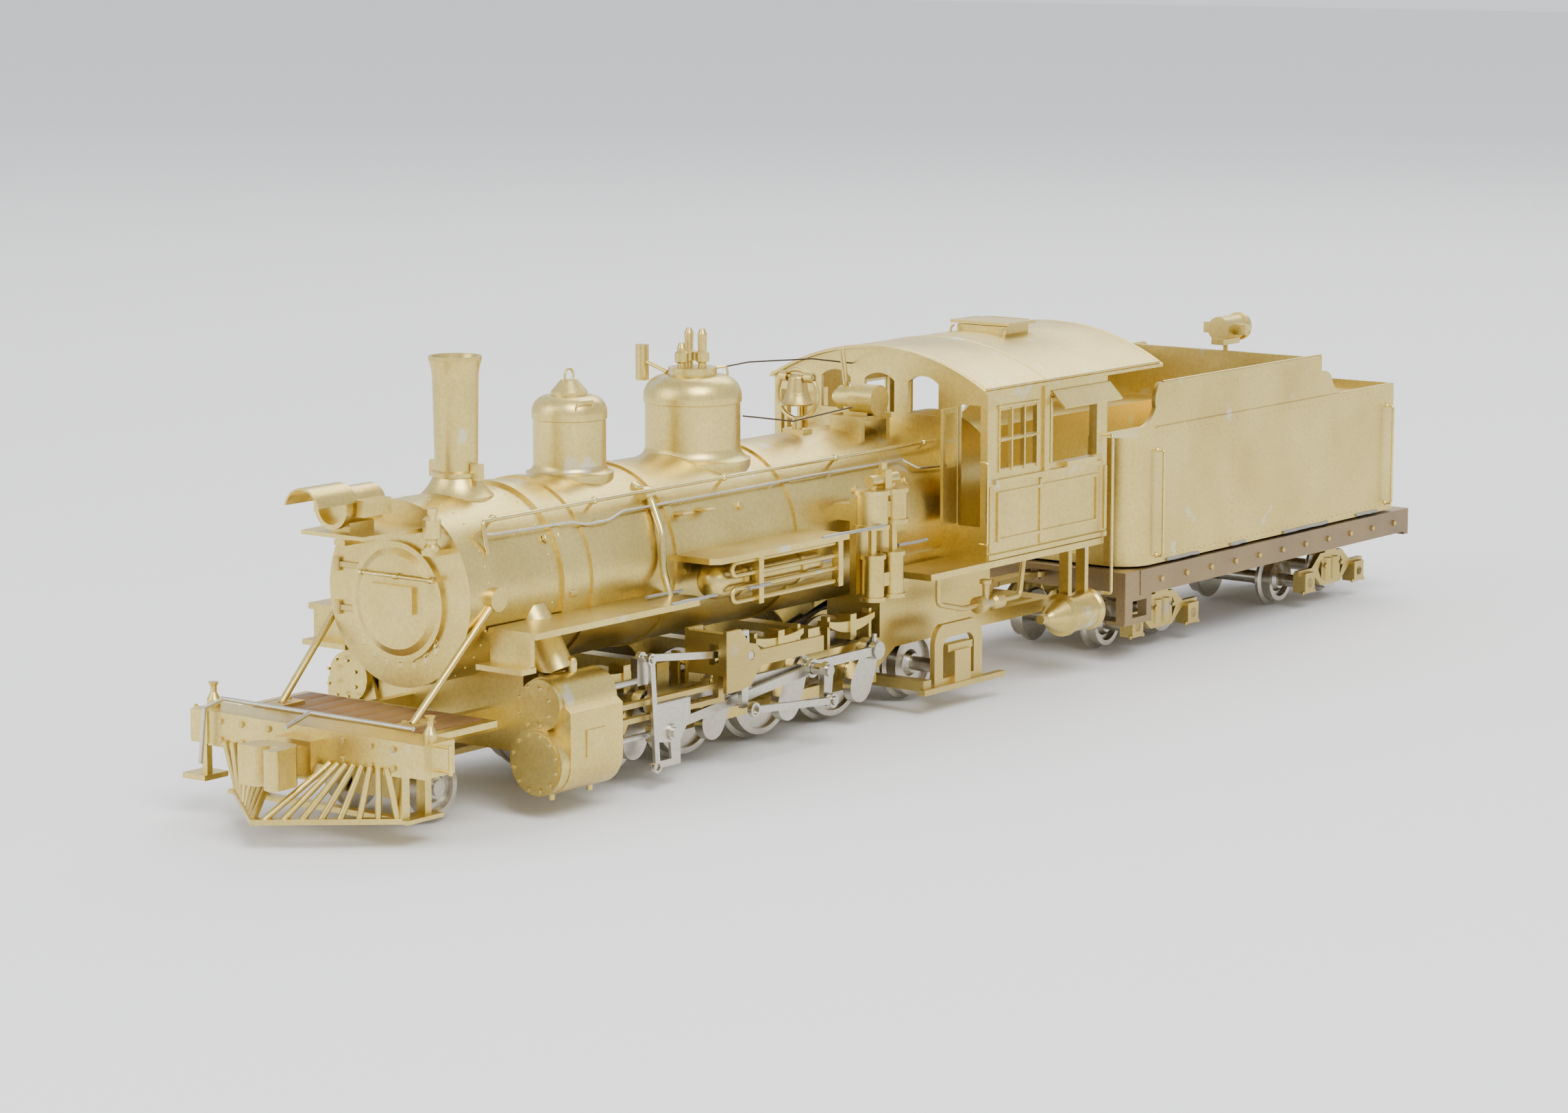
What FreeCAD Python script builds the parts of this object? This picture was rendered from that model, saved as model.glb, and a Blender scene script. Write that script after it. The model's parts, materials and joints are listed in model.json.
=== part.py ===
import FreeCAD, Part
import Sketcher
import math
import os

# Model steam locomotive with tender, 1:87.1 scale on 10.5 mm gauge, brass.
# Frame: X forward, Y to the engine's left, Z up, origin under the middle of
# the whole model at the level of the wheel flanges.  Millimetres.

doc = FreeCAD.newDocument("steam_locomotive")
sheet = doc.addObject("Spreadsheet::Sheet", "dims")


class Size:
    """A length that carries both its sheet expression and its present value."""

    def __init__(self, text, value):
        self.text = text
        self.value = value

    def join(self, sign, other, value, swap=False):
        left, right = self.text, term(other)
        if swap:
            left, right = right, left
        return Size("(%s %s %s)" % (left, sign, right), value)

    def __add__(self, other):
        return self.join("+", other, self.value + val(other))

    def __radd__(self, other):
        return self.join("+", other, val(other) + self.value, swap=True)

    def __sub__(self, other):
        return self.join("-", other, self.value - val(other))

    def __rsub__(self, other):
        return self.join("-", other, val(other) - self.value, swap=True)

    def __mul__(self, other):
        return self.join("*", other, self.value * val(other))

    def __rmul__(self, other):
        return self.join("*", other, val(other) * self.value, swap=True)

    def __truediv__(self, other):
        return self.join("/", other, self.value / val(other))

    def __neg__(self):
        return Size("(0 - %s)" % self.text, -self.value)


def val(thing):
    return thing.value if isinstance(thing, Size) else float(thing)


def term(thing):
    return thing.text if isinstance(thing, Size) else repr(round(float(thing), 5))


class Dims:
    """Writes each driving dimension to the sheet and hands it back by name."""

    row = 0

    def add(self, **sizes):
        for alias, number in sizes.items():
            Dims.row += 1
            sheet.set("A%d" % Dims.row, alias)
            sheet.set("B%d" % Dims.row, str(number))
            sheet.setAlias("B%d" % Dims.row, alias)
            setattr(self, alias, Size("dims." + alias, float(number)))


D = Dims()
# running gear
D.add(axle_z=6.4, axle_rad=1.2, axle_fit=0.05, driver4_x=18.8, driver_pitch=14.3,
      tread_rad=5.83, flange_rad=6.4, wheel_back=4.6, flange_wide=0.6, wheel_face=6.9,
      small_flange=3.8, small_tread=3.25, trail_flange=4.6, trail_tread=4.05,
      tender_flange=3.6, tender_tread=3.05, small_axle=0.9)
# cranks and rods, from the frame outwards
D.add(throw=3.0, crank_in=10.3, crank_out=11.5, pin_rad=0.7, pin_fit=0.06,
      side_in=11.8, side_out=12.4, nut_out=12.7, main_in=12.95, main_out=13.45,
      ecc_in=15.0, ecc_out=15.7, eccrod_in=16.0, eccrod_out=16.6)
# frame
D.add(frame_in=8.0, frame_out=9.2, frame_low=4.2, frame_top=9.6, pivot_rad=0.7, pivot_hole=0.75)
# cylinders
D.add(cyl_y=14.1, cyl_z=6.2, cyl_rad=3.8, valve_z=12.4, valve_rad=3.0, cyl_back=72.3,
      cyl_front=81.1, rod_rad=0.4, stem_z=12.6)
# boiler
D.add(boiler_z=24.1, smoke_rad=10.3, boiler_rad=10.5, smoke_front=88.0, band_x=73.5,
      cab_front=0.2, shell=0.6)
D.add(stack_x=79.0, sand_x=59.8, steam_x=37.45, bell_x=17.1, generator_x=8.4)
# boards and cab
D.add(board_out=16.7, low_board_z=21.0, high_board_z=25.1, board_thick=0.7, walk_z=18.0,
      cab_back=-26.6, cab_half=16.4, cab_low=18.0, eave_z=39.1, roof_half=16.6,
      roof_crown=4.6, roof_front=1.0, roof_back=-39.4, sheet_thick=0.5)
# front end
D.add(beam_x=99.0, beam_half=14.6, beam_low=8.0, deck_z=11.8, pilot_tip=112.0,
      pilot_low=2.6, coupler_z=8.6)
# tender
D.add(tank_front=-35.7, tank_back=-104.2, tank_half=14.6, tank_low=12.4, tank_top=30.5,
      board_top=36.2, deck_half=15.2, deck_top=12.1, deck_front=-37.0, deck_back=-108.2,
      channel_low=8.8, truck1_x=-49.0, truck2_x=-93.8, truck_base=13.8)
doc.recompute()

TURN = {"x": FreeCAD.Rotation(FreeCAD.Vector(0, 1, 0), 90),
        "y": FreeCAD.Rotation(FreeCAD.Vector(1, 0, 0), -90),
        "z": FreeCAD.Rotation()}
NODES = {}
count = [0]


def bind(thing, prop, size):
    if isinstance(size, Size):
        thing.setExpression(prop, size.text)
    else:
        thing.setExpression(prop, term(size))


def new(kind, name="piece"):
    count[0] += 1
    return doc.addObject(kind, "%s_%03d" % (name, count[0]))


def put(thing, base, turn=None):
    thing.Placement = FreeCAD.Placement(FreeCAD.Vector(*[val(c) for c in base]),
                                        turn or FreeCAD.Rotation())
    for letter, size in zip("xyz", base):
        if isinstance(size, Size):
            bind(thing, "Placement.Base." + letter, size)
    return thing


def box(x, y, z):
    """A block between two corners, given as three (low, high) pairs."""
    block = new("Part::Box")
    for prop, (low, high) in zip(("Length", "Width", "Height"), (x, y, z)):
        bind(block, prop, high - low)
    return put(block, (x[0], y[0], z[0]))


def rod(radius, start, length, axis="x", turn=None):
    bar = new("Part::Cylinder")
    bind(bar, "Radius", radius)
    bind(bar, "Height", length)
    return put(bar, start, turn or TURN[axis])


def cone(radius1, radius2, start, length, axis="z"):
    taper = new("Part::Cone")
    bind(taper, "Radius1", radius1)
    bind(taper, "Radius2", radius2)
    bind(taper, "Height", length)
    return put(taper, start, TURN[axis])


def ball(radius, centre):
    sphere = new("Part::Sphere")
    bind(sphere, "Radius", radius)
    return put(sphere, centre)


def ring(radius, wire, centre, axis="z"):
    torus = new("Part::Torus")
    bind(torus, "Radius1", radius)
    bind(torus, "Radius2", wire)
    return put(torus, centre, TURN[axis])


def bar_between(radius, start, end):
    """A round bar from one point to another."""
    first = FreeCAD.Vector(*[val(c) for c in start])
    last = FreeCAD.Vector(*[val(c) for c in end])
    way = FreeCAD.Rotation(FreeCAD.Vector(0, 0, 1), last - first)
    return rod(radius, start, (last - first).Length, turn=way)


def fuse(*shapes):
    if len(shapes) == 1:
        return shapes[0]
    whole = new("Part::MultiFuse")
    whole.Shapes = list(shapes)
    return whole


def cut(base, *tools):
    hole = new("Part::Cut")
    hole.Base = base
    hole.Tool = tools[0] if len(tools) == 1 else fuse(*tools)
    return hole


def group(*shapes):
    """Separate solids that share one node."""
    bunch = new("Part::Compound")
    bunch.Links = list(shapes)
    return bunch


def mirror(shape):
    """The same piece on the engine's other side."""
    other = new("Part::Mirroring")
    other.Source = shape
    other.Normal = FreeCAD.Vector(0, 1, 0)
    return other


def pair(shape):
    return group(shape, mirror(shape))


def arc_middle(start, end, radius):
    """Middle of the arc from start to end, its centre on the left if radius > 0."""
    (x1, y1), (x2, y2) = start, end
    chord = math.dist(start, end)
    size = max(abs(radius), chord / 2)
    sag = (size - math.sqrt(size * size - chord * chord / 4)) * (1 if radius > 0 else -1)
    return (x1 + x2) / 2 + (y2 - y1) / chord * sag, (y1 + y2) / 2 - (x2 - x1) / chord * sag


def draw(sketch, loop):
    """Draw one closed outline.  A vertex is (x, y) or (x, y, radius of the arc to the next)."""
    if loop[0] == "circle":
        centre = FreeCAD.Vector(val(loop[1]), val(loop[2]), 0)
        index = sketch.addGeometry(Part.Circle(centre, FreeCAD.Vector(0, 0, 1), val(loop[3])), False)
        for kind, where, size in (("DistanceX", 1, loop[1]), ("DistanceY", 1, loop[2])):
            hold(sketch, constraint(kind, -1, 1, index, 3, size))
        hold(sketch, constraint("Radius", index, None, None, None, loop[3]))
        return
    first = sketch.GeometryCount
    places = [(val(v[0]), val(v[1])) for v in loop]
    total = len(loop)
    ends = []
    for i, vertex in enumerate(loop):
        start, end = places[i], places[(i + 1) % total]
        a, b = FreeCAD.Vector(*start, 0), FreeCAD.Vector(*end, 0)
        if len(vertex) == 3:
            turning_left = val(vertex[2]) > 0
            middle = FreeCAD.Vector(*arc_middle(start, end, val(vertex[2])), 0)
            tips = (a, b) if turning_left else (b, a)
            sketch.addGeometry(Part.Arc(tips[0], middle, tips[1]), False)
            ends.append((1, 2) if turning_left else (2, 1))
        else:
            sketch.addGeometry(Part.LineSegment(a, b), False)
            ends.append((1, 2))
    for i in range(total):
        j = (i + 1) % total
        sketch.addConstraint(Sketcher.Constraint("Coincident", first + i, ends[i][1],
                                                 first + j, ends[j][0]))
    for i, vertex in enumerate(loop):
        hold(sketch, constraint("DistanceX", -1, 1, first + i, ends[i][0], vertex[0]))
        hold(sketch, constraint("DistanceY", -1, 1, first + i, ends[i][0], vertex[1]))
        chord = math.dist(places[i], places[(i + 1) % total])
        if len(vertex) == 3 and abs(val(vertex[2])) > 0.505 * chord:
            hold(sketch, constraint("Radius", first + i, None, None, None, vertex[2]))


def constraint(kind, first, first_end, second, second_end, size):
    if kind == "Radius":
        return Sketcher.Constraint("Radius", first, abs(val(size))), size
    return Sketcher.Constraint(kind, first, first_end, second, second_end, val(size)), size


def hold(sketch, made):
    rule, size = made
    index = sketch.addConstraint(rule)
    if isinstance(size, Size):
        sketch.setExpression("Constraints[%d]" % index, size.text)


def sketch_on(body, role, loops, offset=0.0):
    sketch = body.newObject("Sketcher::SketchObject", "outline")
    plane = [o for o in body.Origin.OriginFeatures if o.Role == role][0]
    sketch.AttachmentSupport = [(plane, "")]
    sketch.MapMode = "FlatFace"
    bind(sketch, "AttachmentOffset.Base.z", offset)
    for loop in loops:
        draw(sketch, loop)
    return sketch


PLANES = {"xz": ("XZ_Plane", -1), "yz": ("YZ_Plane", 1), "xy": ("XY_Plane", 1)}


def plate(plane, loops, low, high):
    """A flat piece: outlines padded between two levels square to their plane."""
    role, side = PLANES[plane]
    body = new("PartDesign::Body", "plate")
    start = low * side if side > 0 else -high
    sketch = sketch_on(body, role, loops, start)
    pad = body.newObject("PartDesign::Pad", "pad")
    pad.Profile = sketch
    bind(pad, "Length", high - low)
    body.Tip = pad
    return body


def turned(loop, centre, axis="z"):
    """A lathe piece: an outline of (radius, height) spun round the centre line."""
    body = new("PartDesign::Body", "turned")
    sketch = sketch_on(body, "XZ_Plane", [loop])
    spin = body.newObject("PartDesign::Revolution", "spin")
    spin.Profile = sketch
    spin.ReferenceAxis = (sketch, ["V_Axis"])
    spin.Angle = 360
    body.Tip = spin
    return put(body, centre, TURN[axis])


def node(label, shape):
    shape.Label = label
    NODES[label] = shape
    return shape



# ---------------------------------------------------------------- engine frame
BAR_PIN, TRAIL_PIN, PILOT_PIN = D.cab_back + 2.6, 9.0, D.cyl_back - 0.9


def driver_x(number):
    """Axle position of driver 1 (front) to 4 (rear)."""
    return D.driver4_x + (4 - number) * D.driver_pitch


def side_frame():
    """Slab frame outside the wheels, with running holes for the four axles."""
    fit = D.axle_rad + D.axle_fit
    low, top = D.frame_low, D.frame_top
    rear, front = D.cab_back + 0.6, D.band_x + 0.05
    step = D.driver4_x - 5.5
    outline = [(step, low), (front, low), (front, top), (rear, top), (rear, top - 1.6),
               (step - 4.0, top - 1.6), (step, low + 1.5)]
    slab = plate("xz", [outline] + [["circle", driver_x(n), D.axle_z, fit] for n in range(1, 5)],
                 D.frame_in, D.frame_out)
    window = [box((driver_x(n) + 2.4, driver_x(n) + D.driver_pitch - 2.4),
                  (D.frame_in - 1, D.frame_out + 1), (low + 1.3, top - 1.5)) for n in (2, 3, 4)]
    return cut(slab, *window)


def frames():
    """Both slabs, their cross ties, and the pins the trucks and drawbar turn on."""
    ties = [box((driver_x(n) + D.driver_pitch / 2 - 1.1, driver_x(n) + D.driver_pitch / 2 + 1.1),
                (-D.frame_out, D.frame_out), (D.frame_top, 12.6)) for n in (2, 3, 4)]
    ties.append(box((D.cyl_back - 2.2, D.cyl_back - 0.3), (-D.frame_out, D.frame_out),
                    (D.frame_top, 12.6)))
    for x, length in ((D.cab_back + 0.6, 3.4), (TRAIL_PIN - 1.0, 2.0)):
        ties.append(box((x, x + length), (-D.frame_out, D.frame_out), (D.frame_top - 1.6, D.frame_top)))
    ties.append(box((D.cab_back + 3.0, -10.8), (-2.2, 2.2), (D.frame_top - 1.6, D.frame_top)))
    pins = [rod(D.pivot_rad, (BAR_PIN, 0, D.frame_top - 0.5), 2.2, "z"),
            rod(D.pivot_rad, (TRAIL_PIN, 0, 3.0), 5.6, "z"),
            rod(D.pivot_rad, (PILOT_PIN, 0, 5.0), 5.0, "z")]
    slab = side_frame()
    return fuse(slab, mirror(slab), *ties, *pins)


def leaf_spring(x):
    """One bow of leaves over an axle, with its buckle and two hangers."""
    leaves = plate("xz", [[(x - 4.6, 13.0), (x - 4.6, 12.4, 9.6), (x + 4.6, 12.4), (x + 4.6, 13.0, -24.0)]],
                   D.frame_out - 1.4, D.frame_out + 0.4)
    buckle = box((x - 0.6, x + 0.6), (D.frame_out - 1.6, D.frame_out + 0.6), (10.3, 13.4))
    hangers = [box((x + s - 0.25, x + s + 0.25), (D.frame_out - 1.0, D.frame_out),
                   (D.frame_top, 13.5)) for s in (-4.2, 4.2)]
    return fuse(leaves, buckle, *hangers)


node("frames", fuse(frames(), *[pair(leaf_spring(driver_x(n))) for n in range(1, 5)]))


# ---------------------------------------------------------------- cylinders
def cylinder_side():
    """Steam chest over cylinder in one flat-sided jacket, bored for rod and stem."""
    y, z, r = D.cyl_y, D.cyl_z, D.cyl_rad
    v, top = D.valve_rad, D.valve_z
    outline = [(y - r, z, r), (y + r, z), (y + r, top - 0.6), (y + v, top, v),
               (y - v, top), (y - r, top - 3.0)]
    jacket = plate("yz", [outline], D.cyl_back, D.cyl_front)
    saddle = box((D.band_x + 0.05, D.cyl_front - 0.6), (0, y - r + 0.4), (6.5, 17.5))
    panel = box((D.cyl_back + 3.0, D.cyl_front - 2.6), (y + r - 0.1, y + r + 0.15), (6.6, 9.6))
    covers = [rod(D.cyl_rad - 0.1, (D.cyl_front - 0.1, y, z), 1.5),
              rod(D.cyl_rad - 0.5, (D.cyl_front + 1.3, y, z), 0.3),
              rod(D.valve_rad - 0.15, (D.cyl_front - 0.1, y, top), 0.8),
              rod(1.7, (D.cyl_back - 0.8, y, z), 0.9),
              rod(1.4, (D.cyl_back - 0.6, y, D.stem_z), 0.7)]
    cocks = [rod(0.35, (x, y, z - r - 0.7), 0.9, "z") for x in (D.cyl_back + 1.2, D.cyl_front - 1.2)]
    relief = [rod(0.55, (D.cyl_back + 4.0, y, top + v - 0.3), 1.3, "z"),
              ball(0.5, (D.cyl_back + 4.0, y, top + v + 1.1))]
    bores = [rod(D.rod_rad + 0.06, (D.cyl_back - 1, y, z), 9.0),
             rod(D.rod_rad + 0.06, (D.cyl_back - 1, y, D.stem_z), 5.0)]
    solid = fuse(jacket, saddle, panel, *covers, *cocks, *relief)
    return cut(solid, *bores)


def boiler_space(radius):
    return rod(radius, (-40.0, 0, D.boiler_z), 140.0)


steam_pipe = bar_between(2.1, (77.0, 8.6, 21.5), (77.0, 12.6, 15.0))
left_cylinder = cylinder_side()
node("cylinders", cut(fuse(left_cylinder, mirror(left_cylinder)), boiler_space(D.smoke_rad), pair(steam_pipe)))

# ---------------------------------------------------------------- boiler
smoke_shell = cut(rod(D.smoke_rad, (D.band_x, 0, D.boiler_z), D.smoke_front - D.band_x),
                  rod(D.smoke_rad - D.shell, (D.band_x - 1, 0, D.boiler_z), 40.0))
pipes = cut(pair(steam_pipe), fuse(boiler_space(D.smoke_rad - 0.2),
                                   box((60.0, 90.0), (-20.0, 20.0), (0, 15.42))))
node("smokebox", fuse(smoke_shell, pipes))

inner = D.boiler_rad - D.shell
barrel = rod(D.boiler_rad, (-12.0, 0, D.boiler_z), D.band_x + 12.0)
firebox = box((-11.0, 12.6), (-D.frame_out, D.frame_out), (D.frame_top, D.boiler_z - 4.0))
hollow = rod(inner, (-11.4, 0, D.boiler_z), D.band_x + 20.0)
pit = box((-10.4, 12.0), (0.6 - D.frame_out, D.frame_out - 0.6), (0, D.boiler_z))
shaft_slot = box((11.0, 14.0), (-1.2, 1.2), (0, 14.4))
BANDS = (D.band_x - 1.2, 67.4, 52.6, 30.0)
bands = [cut(rod(D.boiler_rad + 0.25, (x, 0, D.boiler_z), 1.2), rod(inner, (x - 1, 0, D.boiler_z), 4.0))
         for x in BANDS]
drum = cut(fuse(barrel, firebox, *bands), fuse(hollow, pit, shaft_slot))
node("boiler", drum)


def outside_barrel():
    """The room the barrel and its raised bands take up, for seating fittings on it."""
    return fuse(boiler_space(D.boiler_rad),
                *[rod(D.boiler_rad + 0.26, (x - 0.02, 0, D.boiler_z), 1.24) for x in BANDS])


door = [rod(D.smoke_rad, (D.smoke_front, 0, D.boiler_z), 0.5),
        rod(6.6, (D.smoke_front + 0.4, 0, D.boiler_z - 0.8), 0.6),
        cone(6.2, 5.2, (D.smoke_front + 0.9, 0, D.boiler_z - 0.8), 0.4, "x"),
        box((D.smoke_front + 0.4, D.smoke_front + 1.8), (-3.0, 3.0), (22.2, 25.2))]
node("smokebox_front", fuse(*door))

# ---------------------------------------------------------------- stack and domes
base = D.boiler_z + D.boiler_rad
stack = turned([(1.9, 31.0), (4.1, 31.0), (4.1, 33.9, -5.0), (2.6, 36.0), (2.75, 36.0), (2.75, 36.5),
                (2.38, 36.7), (2.5, 43.7), (2.55, 46.4, -7.0), (2.95, 48.8), (2.95, 49.2),
                (2.6, 49.2), (1.9, 46.0)], (D.stack_x, 0, 0))
lugs = [box((D.stack_x - 0.5, D.stack_x + 0.5), (s * 3.0 - 0.6, s * 3.0 + 0.6), (35.7, 37.5))
        for s in (-1, 1)]
node("smokestack", cut(fuse(stack, *lugs), boiler_space(D.smoke_rad), rod(1.9, (D.stack_x, 0, 30), 17.0, "z")))

sand = turned([(0, 30.0), (5.0, 30.0), (5.0, 34.4, -1.0), (4.15, 35.3), (4.15, 40.4), (4.3, 40.5),
               (4.3, 41.2, 1.9), (2.5, 43.1), (2.1, 43.1), (2.1, 43.5), (1.0, 44.8), (0, 44.8)],
              (D.sand_x, 0, 0))
node("sand_dome", cut(fuse(sand, ring(0.75, 0.15, (D.sand_x, 0, 45.3), "y")), outside_barrel()))

steam = turned([(0, 30.0), (6.8, 30.0), (6.8, 33.6, -1.6), (5.62, 35.0), (5.62, 40.2), (5.8, 40.3),
                (5.8, 41.0, 2.5), (3.4, 43.4), (2.87, 43.4), (2.87, 44.3), (0, 44.3)],
               (D.steam_x, 0, 0))


def pop_valve(x, y, height):
    return turned([(0, 44.0), (0.5, 44.0), (0.5, 44.8), (0.8, 45.0), (0.8, 46.0), (0.5, 46.3),
                   (0.55, height - 0.6), (0.3, height), (0, height)], (x, y, 0))


valves = [pop_valve(D.steam_x - 0.6, 1.0, 48.8), pop_valve(D.steam_x - 0.6, -1.0, 48.8),
          pop_valve(D.steam_x + 1.3, -0.6, 47.2)]
whistle = [bar_between(0.25, (D.steam_x + 1.0, -3.0, 43.6), (D.steam_x + 1.0, -6.2, 44.6)),
           rod(0.8, (D.steam_x + 1.0, -6.8, 42.4), 4.2, "z")]
node("steam_dome", cut(fuse(steam, *valves, *whistle), outside_barrel()))

# ---------------------------------------------------------------- lamps, bell, generator
lamp_z, lamp_x = 34.7, 99.0
shelf_back = D.smoke_front + 0.5
shelf = plate("xy", [[(shelf_back, -5.2), (98.9, -4.5), (98.9, 4.5), (shelf_back, 5.2)]], 31.5, 31.95)
lamp = cut(fuse(rod(2.1, (92.6, 0, lamp_z), lamp_x - 92.6), rod(2.35, (98.2, 0, lamp_z), 0.8),
                box((93.6, 97.4), (-1.2, 1.2), (31.9, 33.0)),
                box((93.4, 97.8), (-3.6, 3.6), (lamp_z - 0.9, lamp_z + 0.9))),
           rod(1.8, (98.0, 0, lamp_z), 3.0))
visor = cut(rod(2.6, (97.4, 0, lamp_z), 6.0), rod(2.36, (97.0, 0, lamp_z), 8.0),
            box((96.0, 105.0), (-3.0, 3.0), (lamp_z - 3, lamp_z + 0.6)))


def marker(y):
    body = turned([(0, 0), (0.9, 0), (0.9, 0.4), (0.55, 0.8), (0.55, 1.2), (1.0, 1.4), (1.0, 3.4),
                   (0.6, 3.8), (0.75, 4.6), (0, 4.6)], (D.smoke_front + 2.2, y, 29.6))
    foot = box((D.smoke_front + 0.5, D.smoke_front + 3.0), (y - 0.8, y + 0.8), (29.1, 29.7))
    return fuse(body, foot)


node("lamps", group(fuse(shelf, lamp, visor), marker(6.4), marker(-6.4)))

bell_z = 41.3
stand = [ring(3.0, 0.28, (D.bell_x, 0, 39.2), "x"),
         box((D.bell_x - 0.9, D.bell_x + 0.9), (-1.6, 1.6), (base - 0.6, base + 0.4)),
         rod(0.6, (D.bell_x, 0, base), 1.7, "z"),
         rod(0.65, (D.bell_x, 1.35, bell_z), 1.1, "y"), rod(0.65, (D.bell_x, -2.45, bell_z), 1.1, "y")]
bore_y = rod(0.3 + 2 * D.axle_fit, (D.bell_x, -4.0, bell_z), 8.0, "y")
generator = [rod(1.9, (D.generator_x, 2.4, 38.0), 3.6, "y"), rod(1.5, (D.generator_x, 0.2, 38.0), 2.4, "y"),
             rod(0.9, (D.generator_x, -0.6, 38.0), 0.9, "y"),
             box((D.generator_x - 3.0, D.generator_x + 3.0), (0.4, 5.6), (35.6, 36.2)),
             box((D.generator_x - 1.2, D.generator_x + 1.2), (1.4, 5.0), (36.0, 37.4)),
             bar_between(0.35, (D.generator_x, 1.0, 39.0), (D.generator_x + 1.0, 1.0, 44.2))]
legs = [box((D.generator_x + s - 0.35, D.generator_x + s + 0.35), (0.6, 5.4), (32.6, 36.0)) for s in (-2.6, 2.6)]
node("bell_yoke_and_generator", cut(group(cut(fuse(*stand), bore_y), fuse(*generator, *legs)), outside_barrel()))
bell = turned([(0, 37.9), (1.9, 37.9), (2.05, 38.1, -3.0), (1.35, 39.5), (1.1, 41.0, 0.6), (0.6, 41.6),
               (0, 41.6)], (D.bell_x, 0, 0))
bell_cup = turned([(0, 37.0), (1.6, 37.0), (1.6, 38.1, -3.0), (1.05, 39.5), (0.8, 40.6), (0, 40.6)],
                  (D.bell_x, 0, 0))
node("bell", fuse(cut(bell, bell_cup), rod(0.3, (D.bell_x, -2.4, bell_z), 4.8, "y"),
                  rod(0.3, (D.bell_x, 0, 38.6), 2.2, "z"), ball(0.45, (D.bell_x, 0, 38.6))))

# ---------------------------------------------------------------- boards, tanks, coil, pump
thick = D.board_thick
low_board = plate("xy", [[(55.6, 8.6), (85.3, 8.6), (85.3, D.board_out), (57.4, D.board_out, 2.4),
                          (55.6, D.board_out - 3.0)]], D.low_board_z - thick, D.low_board_z)
drop = [box((84.6, 85.3), (10.2, D.board_out - 0.8), (17.0, D.low_board_z - 0.2)),
        box((84.6, 87.0), (9.6, D.board_out - 0.6), (16.6, 17.2))]
high_board = plate("xy", [[(29.0, 8.6), (54.2, 8.6), (54.2, D.board_out - 1.0),
                           (53.2, D.board_out), (29.0, D.board_out)]],
                   D.high_board_z - thick, D.high_board_z)
boards = group(fuse(low_board, *drop), high_board)
node("running_boards", cut(pair(boards), outside_barrel(), mirror(steam_pipe), steam_pipe))

tank_y, tank_z, tank_r = 13.2, 21.8, 2.1
tank = fuse(rod(tank_r, (33.0, tank_y, tank_z), 17.0), ball(tank_r, (33.0, tank_y, tank_z)),
            ball(tank_r, (50.0, tank_y, tank_z)))
hanger = [rod(tank_r + 0.2, (x - 0.4, tank_y, tank_z), 0.8) for x in (36.0, 47.0)]
hanger += [box((x - 0.4, x + 0.4), (tank_y - 0.8, tank_y + 0.8), (tank_z, D.high_board_z - thick))
           for x in (36.0, 47.0)]


def return_bend(x, z, side):
    bend = cut(ring(0.75, 0.3, (x, 15.9, z), "y"),
               box((x, x + 2 * side) if side > 0 else (x + 2 * side, x), (14.0, 17.0), (z - 2, z + 2)))
    return bend


coil_z = [19.6 + 1.5 * i for i in range(4)]
coil = [rod(0.3, (31.0, 15.9, z), 18.6) for z in coil_z]
coil += [return_bend(49.6, coil_z[0] + 0.75, -1), return_bend(49.6, coil_z[2] + 0.75, -1),
         return_bend(31.0, coil_z[1] + 0.75, 1)]
coil += [box((x - 0.45, x + 0.45), (15.5, 16.5), (19.0, D.high_board_z - thick)) for x in (45.6, 30.4)]
node("air_tanks_and_coil", group(pair(fuse(tank, *hanger)), fuse(*coil)))


def pump_barrel(x, y, rad, low, high):
    lip = rad + 0.25
    return turned([(0, low), (lip, low), (lip, low + 0.5), (rad, low + 0.5), (rad, high - 0.5),
                   (lip, high - 0.5), (lip, high), (0, high)], (x, y, 0))


pump = [pump_barrel(21.4, 14.4, 1.95, 24.6, 29.2), pump_barrel(17.0, 14.4, 1.6, 24.8, 29.0),
        pump_barrel(21.2, 14.4, 1.35, 15.8, 21.4), pump_barrel(17.2, 14.4, 1.35, 15.8, 21.4)]
pump += [rod(r, (x, 14.4, 21.0), 4.0, "z") for x, r in ((21.3, 0.5), (17.1, 0.5))]
pump += [rod(0.7, (16.6, 14.4, 30.2), 5.4, "x"), rod(0.5, (19.2, 14.4, 29.0), 3.2, "z"),
         box((18.55, 19.85), (13.55, 15.25), (28.3, 31.4)), rod(0.45, (17.4, 14.4, 28.5), 1.8, "z"),
         rod(0.45, (21.2, 14.4, 28.5), 1.8, "z"),
         box((15.4, 23.0), (12.3, 13.25), (16.6, 28.1)), box((15.6, 22.8), (9.9, 12.6), (25.4, 27.4)),
         box((18.2, 20.2), (13.6, 15.0), (17.4, 19.0)), box((18.1, 20.3), (13.5, 15.1), (25.7, 27.6))]
node("air_pump", cut(fuse(*pump), outside_barrel()))

# ---------------------------------------------------------------- guides and gear bracket
guide_y = (D.main_out + 0.15, D.main_out + 1.0)
guides = [box((50.6, D.cyl_back), guide_y, (9.7, 10.3)), box((50.6, D.cyl_back), guide_y, (8.0, 8.6)),
          box((49.9, 51.0), guide_y, (8.0, 11.05))]
LINK_PIN = (46.6, 13.0)
yoke_out = 15.8
yoke = [box((48.4, 51.1), (9.65, 10.2), (D.frame_top + 0.4, 16.2)),
        box((50.0, 51.1), (10.0, yoke_out - 0.2), (11.1, 16.0)),
        plate("xz", [[(51.2, 9.2), (51.2, 16.3), (48.6, 16.3), (47.0, 14.5), (45.6, 14.2), (44.9, 13.4),
                      (32.8, 13.4), (32.8, 11.6), (45.0, 11.6), (46.6, 9.6), (48.6, 9.2)]], 15.3, yoke_out)]
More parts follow.
